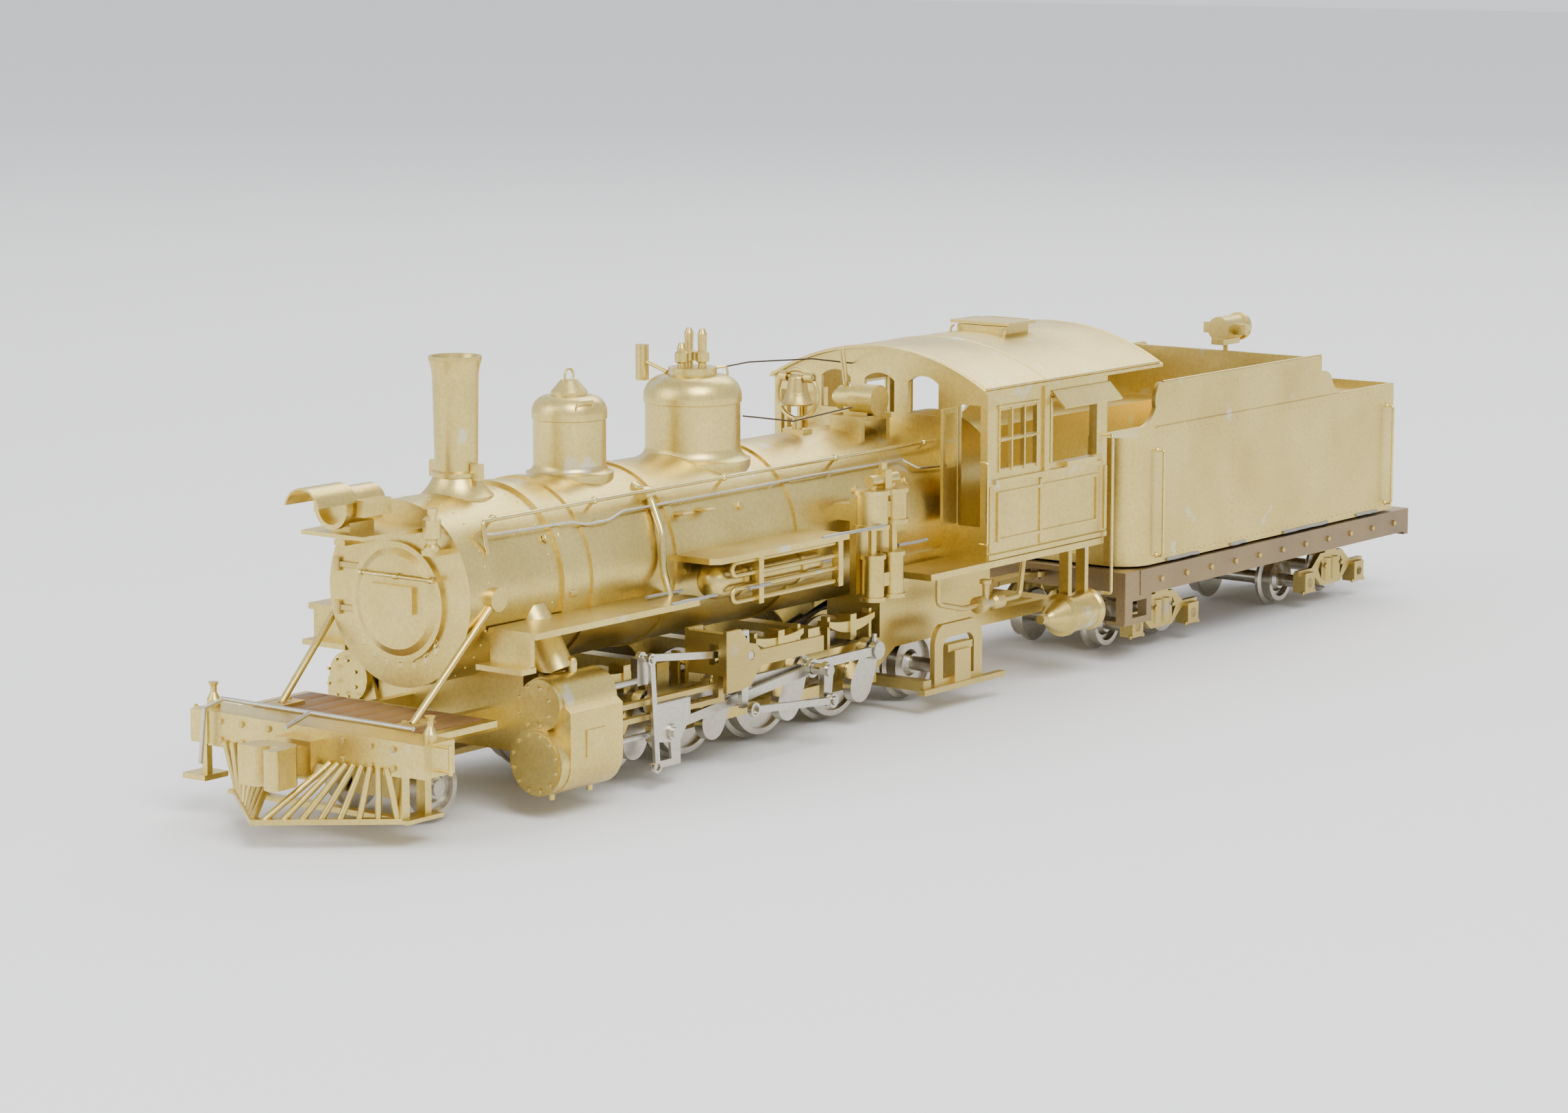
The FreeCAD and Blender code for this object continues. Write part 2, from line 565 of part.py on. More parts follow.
yoke_feet = [box((48.6, 50.8), (8.2, 9.9), (D.frame_top, 11.0))]
rod_way = box((49.0, 52.0), (13.2, 14.5), (12.3, 14.7))
link_bore = rod(0.55, (LINK_PIN[0], 15.0, LINK_PIN[1]), 1.5, "y")
node("guide_bars", pair(fuse(*guides)))
node("gear_yoke", pair(cut(fuse(*yoke, *yoke_feet), rod_way, link_bore)))

# ---------------------------------------------------------------- front end
beam = [box((D.beam_x, D.beam_x + 4.4), (-D.beam_half, D.beam_half), (D.beam_low, D.deck_z)),
        box((88.6, D.beam_x + 0.2), (-D.beam_half + 0.6, D.beam_half - 0.6), (D.deck_z - 0.7, D.deck_z)),
        box((D.cyl_front - 0.6, D.beam_x + 0.2), (5.6, 6.8), (8.6, D.deck_z - 0.6)),
        box((D.cyl_front - 0.6, D.beam_x + 0.2), (-6.8, -5.6), (8.6, D.deck_z - 0.6)),
        box((D.beam_x + 4.2, D.beam_x + 6.4), (-2.6, 2.6), (6.6, 10.8))]


def end_casting(side):
    """Beam end with its flag post and wire grab iron."""
    low, high = (14.5, 17.0) if side > 0 else (-17.0, -14.5)
    middle = side * 15.8
    post = turned([(0, 11.6), (0.75, 11.6), (0.75, 12.6), (0.35, 13.4), (0.35, 14.0), (0.6, 14.5),
                   (0, 14.5)], (D.beam_x + 2.2, middle, 0))
    wire = [bar_between(0.19, (D.beam_x + 2.2, side * 16.8, z), (D.beam_x + 2.2, side * 18.6, z))
            for z in (11.4, 8.8)]
    wire.append(rod(0.24, (D.beam_x + 2.2, side * 18.6, 8.5), 3.2, "z"))
    return fuse(box((D.beam_x - 0.2, D.beam_x + 4.6), (low, high), (8.2, 11.8)), post, *wire)


step = [box((D.beam_x + 2.6, D.beam_x + 3.4), (-16.6, -15.8), (4.4, 8.4)),
        plate("xy", [[(D.beam_x + 0.8, -18.6), (D.beam_x + 4.4, -18.6), (D.beam_x + 4.4, -15.2),
                      (D.beam_x + 0.8, -15.2)]], 3.9, 4.5)]
braces = [bar_between(0.4, (84.6, s * 10.5, 24.0), (97.2, s * 9.6, D.deck_z + 0.4)) for s in (-1, 1)]
flanges = [bar_between(1.3, (84.6, s * 9.4, 24.0), (84.6, s * 11.0, 24.0)) for s in (-1, 1)]
braces = [cut(fuse(b, f), boiler_space(D.smoke_rad)) for b, f in zip(braces, flanges)]


def pilot_side():
    """One side of the cowcatcher: sloping bars from the sill up to the beam."""
    tip, low = D.pilot_tip, D.pilot_low
    sill = plate("xy", [[(tip, 0), (102.0, 12.4), (100.8, 12.4), (tip - 1.3, 0)]], low, low + 0.6)
    bars = []
    for i in range(8):
        share = (i + 0.35) / 7.6
        foot = (val(tip) - 0.7 - share * 9.7, share * 12.0 + 0.1, val(low) + 0.3)
        head = (103.6, 3.3 + share * 8.8, 8.3 + 0.6 * share)
        bars.append(bar_between(0.36, foot, head))
    back = [box((100.8, 102.0), (11.2, 12.4), (low, 8.2)), box((97.4, 98.4), (11.2, 12.4), (low, 8.6)),
            box((96.4, 102.0), (10.6, 13.2), (low, low + 0.45))]
    return fuse(sill, *bars, *back)


half_pilot = pilot_side()
node("pilot", cut(fuse(half_pilot, mirror(half_pilot), box((100.8, 102.0), (-12.4, 12.4), (D.pilot_low, D.pilot_low + 0.6))),
                  box((D.beam_x - 3, D.beam_x + 4.42), (-13.5, 13.5), (D.beam_low - 0.02, 12.0))))
coupler = [box((D.beam_x + 6.2, 107.4), (-1.3, 1.3), (D.coupler_z - 1.5, D.coupler_z + 1.5)),
           plate("xy", [[(106.8, -2.0), (108.4, -3.0), (110.4, -3.0), (110.4, -0.6), (109.2, 0.4),
                         (109.2, 1.6), (111.2, 1.4), (111.6, 2.6, 1.2), (110.4, 3.0), (108.0, 3.0),
                         (106.8, 2.0)]], D.coupler_z - 2.2, D.coupler_z + 2.1)]
front_beam = fuse(fuse(*beam), fuse(*coupler), end_casting(1), end_casting(-1), fuse(*step))
node("pilot_beam", group(front_beam, *braces))
lever_x, lever_z = 101.6, 12.9
lever = [rod(0.25, (lever_x, -14.2, lever_z), 28.0, "y"),
         bar_between(0.25, (lever_x, -13.9, lever_z), (lever_x + 2.8, -14.0, lever_z - 0.6)),
         bar_between(0.25, (lever_x + 2.8, -14.0, lever_z - 0.6), (lever_x + 3.0, -14.6, 6.2)),
         bar_between(0.25, (lever_x, -1.0, lever_z), (lever_x + 3.8, -1.0, lever_z - 1.0))]
node("uncoupling_lever", fuse(*lever))

# ---------------------------------------------------------------- cab
wall = D.sheet_thick


def roof_line(half, height):
    """Height of a roof curve above the eaves at a half width, as an arc radius."""
    return (half ** 2 + height ** 2) / (2 * height)


def cab_front():
    half, eave = D.cab_half, D.eave_z
    skirt = [(-half, D.cab_low), (half, D.cab_low), (half, eave - 0.3, roof_line(16.4, 4.5)),
             (-half, eave - 0.3)]
    windows = [[(y - 2.3, 35.5), (y + 2.3, 35.5), (y + 2.3, 39.4, 3.4), (y - 2.3, 39.4)]
               for y in (-6.7, 0.0, 6.7)]
    doors = [[(s * 13.75 - 1.6, 22.2), (s * 13.75 + 1.6, 22.2), (s * 13.75 + 1.6, 37.2),
              (s * 13.75 - 1.6, 37.2)] for s in (-1, 1)]
    front = plate("yz", [skirt] + windows + doors, D.cab_front - wall, D.cab_front)
    return cut(front, boiler_space(D.boiler_rad),
               box((D.cab_front - 2, D.cab_front + 1), (-D.frame_out, D.frame_out), (10, 24.0)))


def cab_side():
    """Side sheet with the six-pane window, the open rear window and a raised panel."""
    low, top, back, front = D.cab_low, D.eave_z - 0.4, D.cab_back, D.cab_front
    panes = []
    for col in range(3):
        for row in range(2):
            x, z = -2.6 - col * 2.75, 29.2 + row * 3.85
            panes.append([(x - 2.3, z), (x, z), (x, z + 3.4), (x - 2.3, z + 3.4)])
    rear = [(-24.0, 28.8), (-13.8, 28.8), (-13.8, 36.6), (-24.0, 36.6)]
    sheet_part = plate("xz", [[(back, low), (front, low), (front, top), (back, top)]] + panes + [rear],
                       D.cab_half - wall, D.cab_half)
    bead = plate("xz", [[(-24.4, 20.2), (-1.9, 20.2), (-1.9, 26.4), (-24.4, 26.4)],
                        [(-24.0, 20.6), (-2.3, 20.6), (-2.3, 26.0), (-24.0, 26.0)]],
                 D.cab_half - 0.1, D.cab_half + 0.2)
    sill = box((-25.2, -1.2), (D.cab_half - 0.1, D.cab_half + 0.35), (27.4, 28.0))
    post = box((-13.0, -11.9), (D.cab_half - 0.1, D.cab_half + 0.3), (28.0, top))
    rest = box((-23.0, -16.2), (D.cab_half - 0.4, D.cab_half + 0.9), (28.1, 28.8))
    stay = box((back, back + 0.5), (D.cab_half - 2.4, D.cab_half), (low, top))
    return fuse(sheet_part, bead, sill, post, rest, stay)


side = cab_side()
floor = [box((D.cab_back, D.cab_front - 0.2), (s * 13.15 - 3.15, s * 13.15 + 3.15), (D.cab_low, D.cab_low + 0.6))
         for s in (-1, 1)]
rear_floor = box((D.cab_back, -17.4), (-10.0, 10.0), (D.cab_low, D.cab_low + 0.6))
walk = [box((D.cab_back + 1.0, 12.4), (s * 13.35 - 3.35, s * 13.35 + 3.35), (D.walk_z - thick - 0.1, D.walk_z))
        for s in (-1, 1)]
brake = turned([(0, -11.0), (2.7, -11.0), (2.7, -10.5), (2.45, -10.2), (2.45, -5.2), (2.75, -5.0),
                (2.75, -4.5), (2.2, -4.2), (1.0, -1.8), (0.6, -1.2), (0.6, 0), (0, 0)],
               (-15.3, 14.0, 8.4), "x")
brake_hangers = [box((x, x + 0.8), (13.3, 14.7), (10.2, D.walk_z - thick)) for x in (-25.2, -21.4)]
node("cab", fuse(cab_front(), side, mirror(side), *floor, rear_floor, *walk, pair(fuse(brake, *brake_hangers))))

outer_rad, inner_rad = roof_line(16.6, 4.6), roof_line(16.6, 4.6) - 0.7
roof_shell = plate("yz", [[(-D.roof_half, D.eave_z), (-D.roof_half, D.eave_z - 0.4, -(inner_rad + 0.2)),
                           (D.roof_half, D.eave_z - 0.4), (D.roof_half, D.eave_z, outer_rad)]],
                   D.roof_back, D.roof_front)
hatch_x, hatch_y = (-27.6, -21.6), (-4.6, 4.6)
curb = cut(box((hatch_x[0] + 0.4, hatch_x[1] - 0.4), (-3.8, 3.8), (D.eave_z + 3.6, D.eave_z + 5.3)),
           box((hatch_x[0] + 1.0, hatch_x[1] - 1.0), (-3.2, 3.2), (D.eave_z, D.eave_z + 6)))
opening = box((hatch_x[0] + 1.0, hatch_x[1] - 1.0), (-3.2, 3.2), (D.eave_z, D.eave_z + 6))
node("cab_roof", fuse(cut(roof_shell, opening), curb))
node("roof_hatch", fuse(box(hatch_x, hatch_y, (D.eave_z + 5.45, D.eave_z + 5.85)),
                        rod(0.3, (hatch_x[0] - 0.1, -3.4, D.eave_z + 5.65), 6.8, "y")))


def door_leaf(side):
    """Narrow cab door standing open, two panes above a panel, hinged at the boiler side."""
    hinge = side * 12.0
    leaf = plate("xz", [[(0.55, 22.5), (3.65, 22.5), (3.65, 36.9), (0.55, 36.9)],
                        [(1.05, 29.6), (3.15, 29.6), (3.15, 32.6), (1.05, 32.6)],
                        [(1.05, 33.1), (3.15, 33.1), (3.15, 36.3), (1.05, 36.3)],
                        ], hinge - 0.2, hinge + 0.2)
    pins = rod(0.25, (0.5, hinge, 22.5), 14.4, "z")
    return fuse(leaf, pins)


node("cab_door_left", door_leaf(1))
node("cab_door_right", door_leaf(-1))

face = D.cab_front - 12.2
head = [rod(D.boiler_rad - 0.7, (face - 0.9, 0, D.boiler_z), 0.9),
        rod(2.0, (face - 1.6, 0, 20.5), 1.2), box((face - 3.2, face - 0.6), (-0.7, 0.7), (26.0, 27.2)),
        bar_between(0.3, (face - 2.4, 0.4, 26.6), (face - 4.6, 5.6, 28.6)),
        bar_between(0.35, (face - 2.0, 9.0, 19.0), (face - 3.0, 9.6, 30.4))]
head += [rod(1.1, (face - 1.4, y, z), 0.8) for y, z in ((3.6, 31.4), (-3.6, 31.4), (0.0, 32.2))]
head += [rod(0.35, (face - 2.4, y, 24.0), 1.8) for y in (-5.0, 5.0)]
node("backhead", fuse(*head))

# ---------------------------------------------------------------- drive
motor_z, motor_tilt = 14.9, 14.0
lean = FreeCAD.Rotation(FreeCAD.Vector(0, 1, 0), 90 + motor_tilt)
tilt = math.radians(motor_tilt)
ahead = (math.cos(tilt), -math.sin(tilt))


def along(distance):
    """A point on the leaning motor shaft, measured forward from the motor's front."""
    return (5.6 + distance * ahead[0], 0, motor_z - 0.9 + distance * ahead[1])


motor = [rod(3.7, along(-13.0), 13.0, turn=lean), rod(1.1, along(-0.1), 0.6, turn=lean)]
node("motor", cut(fuse(*motor), rod(0.46, along(-14.0), 16.0, turn=lean)))
worm = [rod(0.4, along(-13.6), 29.0, turn=lean), rod(0.85, along(11.0), 4.2, turn=lean)]
node("worm_shaft", fuse(*worm))


# ---------------------------------------------------------------- wheels and cranks
def wheel(rim, flange, back, face, hub):
    """Dished wheel on the left side, back and face measured from the middle."""
    width = face - back
    disc = turned([(0, 0), (flange - 0.25, 0), (flange, 0.2), (flange, D.flange_wide),
                   (rim, D.flange_wide + 0.25), (rim - 0.05, width), (rim - 0.7, width),
                   (rim - 0.8, width - 0.6), (hub + 0.5, width - 0.6), (hub, width), (0, width)],
                  (0, back, 0), "y")
    return disc


def place(shape, x, z):
    group_placement = FreeCAD.Placement(FreeCAD.Vector(val(x), 0, val(z)), FreeCAD.Rotation())
    holder = group(shape)
    holder.Placement = group_placement
    bind(holder, "Placement.Base.x", x)
    bind(holder, "Placement.Base.z", z)
    return holder


def crank(angle, pin_end):
    """Outside crank with its counterweight, drawn pointing up and turned to its angle."""
    throw, eye, weight = D.throw, 1.5, 4.2
    web = plate("xz", [[(-1.5, throw), (-2.0, 0.4), (-2.1, -1.6), (-2.0, -2.1, 2.05), (2.0, -2.1),
                        (2.1, -1.6), (2.0, 0.4), (1.5, throw, eye)]], D.crank_in, D.crank_out)
    pin = rod(D.pin_rad, (0, D.crank_out - 0.3, throw), pin_end - D.crank_out + 0.3, "y")
    whole = fuse(web, pin)
    whole.Placement = FreeCAD.Placement(FreeCAD.Vector(), FreeCAD.Rotation(FreeCAD.Vector(0, 1, 0), angle))
    return whole


LEFT_CRANK, RIGHT_CRANK = -29.0, 61.0


def wheelset(number):
    """Axle, two wheels and two cranks; driver 3 is driven and carries the return cranks."""
    left = wheel(D.tread_rad, D.flange_rad, D.wheel_back, D.wheel_face, 2.0)
    axle = rod(D.axle_rad, (0, -D.crank_out, 0), D.crank_out * 2, "y")
    parts = [axle, left, mirror(left)]
    main = number == 3
    pin_end = D.ecc_out + 0.3 if main else D.side_out + 0.3
    for angle, flip in ((LEFT_CRANK, False), (RIGHT_CRANK, True)):
        arm = crank(angle, pin_end)
        pieces = [arm]
        if main:
            pieces.append(return_crank(angle))
        else:
            nut = rod(D.pin_rad + 0.35, (0, D.side_out + 0.05, D.throw), 0.25, "y")
            nut = group(nut)
            nut.Placement = arm.Placement
            pieces.append(nut)
        parts += [mirror(p) for p in pieces] if flip else pieces
    if number == 4:
        parts.append(rod(3.3, (0, -1.1, 0), 2.2, "y"))
    return place(fuse(*parts), driver_x(number), D.axle_z)


def return_crank(angle):
    """Return crank from the main pin back towards the axle, with the eccentric pin."""
    throw = D.throw
    arm = plate("xz", [[(-1.0, throw), (-2.3, -0.3, 0.8), (-0.9, -0.7), (1.0, throw, 1.0)]],
                D.ecc_in, D.ecc_out)
    pin = rod(0.5, (-1.55, D.ecc_out - 0.2, -0.1), 1.4, "y")
    whole = fuse(arm, pin)
    whole.Placement = FreeCAD.Placement(FreeCAD.Vector(), FreeCAD.Rotation(FreeCAD.Vector(0, 1, 0), angle))
    return whole


for number in range(1, 5):
    node("driver_%d" % number, wheelset(number))


def turned_point(angle, x, z):
    """Where a point of the upright crank lands once the crank is turned."""
    a = math.radians(angle)
    return x * math.cos(a) + z * math.sin(a), -x * math.sin(a) + z * math.cos(a)


def rod_link(ends, low, high, half, eye, hole):
    """A flat rod through the given (x, z) ends, waisted between its eyes."""
    bars = [rod(eye, (x, low, z), high - low, "y") for x, z in ends]
    for (x1, z1), (x2, z2) in zip(ends, ends[1:]):
        length = math.hypot(x2 - x1, z2 - z1)
        ux, uz = (x2 - x1) / length, (z2 - z1) / length
        bars.append(plate("xz", [[(x1 + uz * half, z1 - ux * half), (x2 + uz * half, z2 - ux * half),
                                  (x2 - uz * half, z2 + ux * half), (x1 - uz * half, z1 + ux * half)]],
                          low, high))
    holes = [rod(hole, (x, low - 1, z), high - low + 2, "y") for x, z in ends]
    return cut(fuse(*bars), *holes)


WRIST = {LEFT_CRANK: 59.9, RIGHT_CRANK: 64.07}
WRIST_Z = 6.1


def set_of_rods(angle):
    """Side, main and eccentric rod of one side, in the left side's layers."""
    wrist_x = WRIST[angle]
    dx, dz = turned_point(angle, 0, val(D.throw))
    pins = [(driver_x(n).value + dx, D.axle_z.value + dz) for n in range(1, 5)]
    side_rod = rod_link(pins, D.side_in, D.side_out, 0.55, 1.15, D.pin_rad + D.pin_fit)
    cups = [rod(0.3, (x, D.side_in + 0.05, z + 1.0), 1.0, "z") for x, z in pins]
    side_rod = cut(fuse(side_rod, *cups),
                   *[rod(D.pin_rad + D.pin_fit, (x, D.side_in - 1, z), 3, "y") for x, z in pins])
    big = pins[2]
    main_rod = fuse(rod_link([big], D.main_in, D.main_out, 0.6, 1.1, D.pin_rad + D.pin_fit),
                    cut(rod_link([big, (wrist_x, WRIST_Z)], D.main_in, D.main_out, 0.55, 0.55, 0.25),
                        rod(D.pin_rad + D.pin_fit, (big[0], D.main_in - 1, big[1]), 3, "y")))
    ex, ez = turned_point(angle, -1.55, -0.1)
    back = (driver_x(3).value + ex, D.axle_z.value + ez)
    front = (46.8, back[1] + 1.2)
    ecc_rod = rod_link([back, front], D.eccrod_in, D.eccrod_out, 0.4, 0.85, 0.5 + D.pin_fit)
    return side_rod, main_rod, ecc_rod


def crosshead(wrist):
    """Slipper between the guides, outside plate, wrist bolt, piston rod and union link."""
    y, z, skin = D.cyl_y, D.cyl_z, (14.55, 14.9)
    slipper = box((wrist - 3.2, wrist + 3.2), (13.65, 14.6), (8.65, 9.65))
    apron = plate("xz", [[(wrist - 3.2, 9.6), (wrist - 3.2, 7.4), (wrist - 1.4, 5.0), (wrist - 1.4, 2.3),
                          (wrist + 3.8, 2.3), (wrist + 3.8, 3.1), (wrist + 0.2, 3.1), (wrist + 0.4, 5.0),
                          (wrist + 3.2, 5.4), (wrist + 3.2, 9.6)]], *skin)
    boss = box((wrist + 1.6, wrist + 3.4), (13.7, 14.6), (5.4, 7.2))
    bolt = [rod(0.95, (wrist, 14.8, WRIST_Z), 0.4, "y"), rod(0.6, (wrist, 15.1, WRIST_Z), 0.4, "y")]
    piston = rod(D.rod_rad, (wrist + 2.9, y, z), 12.5)
    return fuse(slipper, apron, boss, piston, *bolt)


LAP_PIN = (64.2, 15.0)


def lap_lever(wrist):
    """Combination lever hung from the valve rod's pin."""
    return rod_link([LAP_PIN, (wrist + 3.4, 2.7)], 15.15, 15.55, 0.4, 0.7, 0.4)


def valve_rod():
    """Radius rod, valve-rod crosshead and stem, sliding together."""
    bar = rod_link([LINK_PIN, LAP_PIN], 13.6, 14.1, 0.4, 0.75, 0.3)
    link = box((63.7, 65.6), (13.6, 14.5), (12.1, 15.2))
    return fuse(bar, link, rod(D.rod_rad, (65.4, D.cyl_y, D.stem_z), 9.4),
                rod(0.34, (LAP_PIN[0], 14.2, LAP_PIN[1]), 1.6, "y"))


def expansion_link():
    """Curved slotted link with its foot for the eccentric rod."""
    curve = plate("xz", [[(46.0, 15.8), (45.8, 13.0), (46.0, 10.2), (46.2, 6.8), (47.2, 6.8), (47.4, 10.2),
                          (47.2, 13.0), (47.4, 15.8)],
                         [(46.3, 15.2), (46.2, 13.0), (46.3, 11.0), (46.9, 11.0), (46.8, 13.0),
                          (46.9, 15.2)]], 14.35, 14.95)
    return fuse(curve, rod(0.9, (LINK_PIN[0], 14.65, LINK_PIN[1]), 0.4, "y"),
                rod(0.5, (LINK_PIN[0], 14.9, LINK_PIN[1]), 0.85, "y"))


for name, angle, flip in (("left", LEFT_CRANK, False), ("right", RIGHT_CRANK, True)):
    wrist = WRIST[angle]
    made = list(set_of_rods(angle)) + [crosshead(wrist), lap_lever(wrist), valve_rod(), expansion_link()]
    names = ["side_rod", "main_rod", "eccentric_rod", "crosshead", "combination_lever", "valve_rod",
             "expansion_link"]
    for title, piece in zip(names, made):
        node("%s_%s" % (title, name), mirror(piece) if flip else piece)


def small_wheelset(x, flange, tread, reach):
    left = wheel(tread, flange, D.wheel_back, D.wheel_face - 0.1, 1.2)
    axle = rod(D.small_axle, (0, -reach, 0), 2 * reach, "y")
    return place(fuse(axle, left, mirror(left)), x, flange)


pilot_x, trail_x = D.driver4_x + 71.5, D.driver4_x - 16.8
node("pilot_wheels", small_wheelset(pilot_x, D.small_flange, D.small_tread, 7.1))
node("trailing_wheels", small_wheelset(trail_x, D.trail_flange, D.trail_tread, 11.9))

fit = D.small_axle + D.axle_fit
node("pilot_truck", cut(fuse(box((70.2, pilot_x + 1.6), (-1.2, 1.2), (5.2, 5.9)),
                             box((pilot_x - 1.7, pilot_x + 1.7), (-4.1, 4.1), (2.2, 5.9)),
                             rod(1.6, (PILOT_PIN, 0, 5.2), 0.7, "z")),
                        rod(fit, (pilot_x, -10, D.small_flange), 20, "y"),
                        rod(D.pivot_hole, (PILOT_PIN, 0, 4), 4, "z")))


def trailing_side():
    """Outside truck frame: arched plate over the journal box, and the long foot bar."""
    x, low = trail_x, 2.9
    arch = plate("xz", [[(x - 5.0, low), (x + 5.2, low), (x + 5.2, 8.4, 2.8), (x + 3.6, 10.6),
                         (x - 3.2, 10.6, 2.8), (x - 5.0, 8.4)],
                        [(x - 3.2, low + 1.0), (x + 3.4, low + 1.0), (x + 3.4, 7.8, 1.6), (x + 2.2, 8.9),
                         (x - 2.2, 8.9, 1.6), (x - 3.2, 7.8)]], 12.9, 13.6)
    journal = box((x - 1.7, x + 1.7), (11.6, 14.2), (2.9, 7.2))
    foot = box((x - 9.0, x + 8.4), (13.4, 14.4), (2.5, 3.2))
    spring = box((x - 2.6, x + 2.6), (12.7, 13.8), (7.1, 8.0))
    return cut(fuse(arch, journal, foot, spring), rod(fit, (x, 8.0, D.trail_flange), 4.4, "y"))


trail_side = trailing_side()
trail_bar = fuse(box((TRAIL_PIN - 0.8, TRAIL_PIN + 0.8), (-13.8, 13.8), (2.9, 4.2)),
                 rod(1.6, (TRAIL_PIN, 0, 2.9), 2.4, "z"))
node("trailing_truck", cut(fuse(trail_side, mirror(trail_side), trail_bar),
                           rod(D.pivot_hole, (TRAIL_PIN, 0, 2), 4, "z")))

# ---------------------------------------------------------------- tender
drawbar_z, tender_pin = 10.2, -35.0
drawbar = [box((tender_pin, BAR_PIN), (-1.1, 1.1), (drawbar_z, drawbar_z + 0.7)),
           rod(1.5, (BAR_PIN, 0, drawbar_z), 0.7, "z"), rod(1.5, (tender_pin, 0, drawbar_z), 0.7, "z")]
node("drawbar", cut(fuse(*drawbar), *[rod(D.pivot_hole, (x, 0, 8), 4.0, "z") for x in (BAR_PIN, tender_pin)]))

deck = [box((D.deck_back, D.deck_front), (-D.deck_half, D.deck_half), (D.deck_top - 0.7, D.deck_top)),
        box((D.deck_front - 0.2, -33.6), (-11.6, 11.6), (D.deck_top - 0.7, D.deck_top))]
for s in (-1, 1):
    edge = (D.deck_half - 0.6, D.deck_half) if s > 0 else (-D.deck_half, 0.6 - D.deck_half)
    deck.append(box((D.deck_back, D.deck_front), edge, (D.channel_low, D.deck_top - 0.6)))
    deck.append(box((D.deck_back, D.deck_front), (s * 3.4 - 0.4, s * 3.4 + 0.4),
                    (D.channel_low + 0.4, D.deck_top - 0.6)))
deck += [box((D.deck_front - 0.8, D.deck_front), (-D.deck_half, D.deck_half), (D.channel_low, D.deck_top - 0.6)),
         box((D.deck_back, D.deck_back + 1.2), (-D.deck_half, D.deck_half), (D.channel_low - 0.4, D.deck_top - 0.6))]
deck += [box((x - 3.0, x + 3.0), (-D.deck_half + 0.4, D.deck_half - 0.4), (10.2, D.deck_top - 0.6))
         for x in (D.truck1_x, D.truck2_x)]
deck += [rod(D.pivot_rad, (tender_pin, 0, 9.8), D.deck_top - 10.0, "z"),
         box((-107.6, -104.0), (-1.6, 1.6), (8.1, D.deck_top - 0.6)), rod(0.4, (-105.6, 0, 6.5), 2.0, "z")]
steps = [cut(box((-39.8, -33.4), (s * 14.4 - 0.7, s * 14.4 + 0.7), (5.4, D.channel_low + 0.6)),
             box((-38.6, -35.2), (s * 14.4 - 2, s * 14.4 + 2), (6.0, 8.2))) for s in (-1, 1)]
steps += [box((-39.8, -33.4), (s * 13.6 - 1.4, s * 13.6 + 1.4), (5.1, 5.6)) for s in (-1, 1)]
steps += [box((D.deck_front - 0.2, -33.4), (s * 13.4 - 1.7, s * 13.4 + 1.7), (D.channel_low, D.deck_top))
          for s in (-1, 1)]
node("tender_frame", cut(fuse(*deck, *steps), *[rod(D.pivot_hole, (x, 0, 8), 3.4, "z") for x in (D.truck1_x, D.truck2_x)]))

half, corner = D.tank_half, 4.4
body = plate("xy", [[(D.tank_back, -half), (D.tank_front - corner, -half, corner), (D.tank_front, corner - half),
                     (D.tank_front, half - corner, corner), (D.tank_front - corner, half), (D.tank_back, half)]],
             D.tank_low, D.board_top)
side_cut = plate("xz", [[(-30.0, 30.6), (-37.6, 30.6, -4.5), (-41.0, 33.0, 3.0), (-42.6, 36.6), (-42.6, 40.0),
                         (-30.0, 40.0)]], -20.0, 20.0)
rear_cut = plate("xz", [[(-110.0, D.tank_top), (-89.4, D.tank_top, 4.0), (-86.4, 33.2, -3.0), (-83.8, 33.9),
                         (-83.8, 40.0), (-110.0, 40.0)]], -20.0, 20.0)
coal = box((-80.6, -30.0), (0.6 - half, half - 0.6), (29.3, 40.0))
pit_cut = plate("xz", [[(-30.0, 13.6), (-44.0, 13.6), (-79.6, 29.4), (-30.0, 29.4)]], -7.6, 7.6)
top_well = box((D.tank_back + 0.6, -81.2), (0.6 - half, half - 0.6), (29.3, 40.0))
shell = cut(body, side_cut, rear_cut, coal, pit_cut, top_well)

hatch = [box((-98.6, -92.6), (-3.6, 3.6), (29.75, 30.2)), rod(0.3, (-98.6, -3.0, 29.9), 6.0, "y")]
node("tender_hatch", fuse(*hatch))
light = [rod(0.35, (-82.2, 0, 29.2), 8.3, "z"), box((-84.4, -80.0), (-1.0, 1.0), (37.0, 37.8)),
         rod(1.7, (-85.6, 0, 39.2), 5.4), rod(1.95, (-86.0, 0, 39.2), 0.8),
         box((-82.8, -81.8), (-3.4, 3.4), (38.4, 39.9))]
node("tender_tank", fuse(shell, *light))


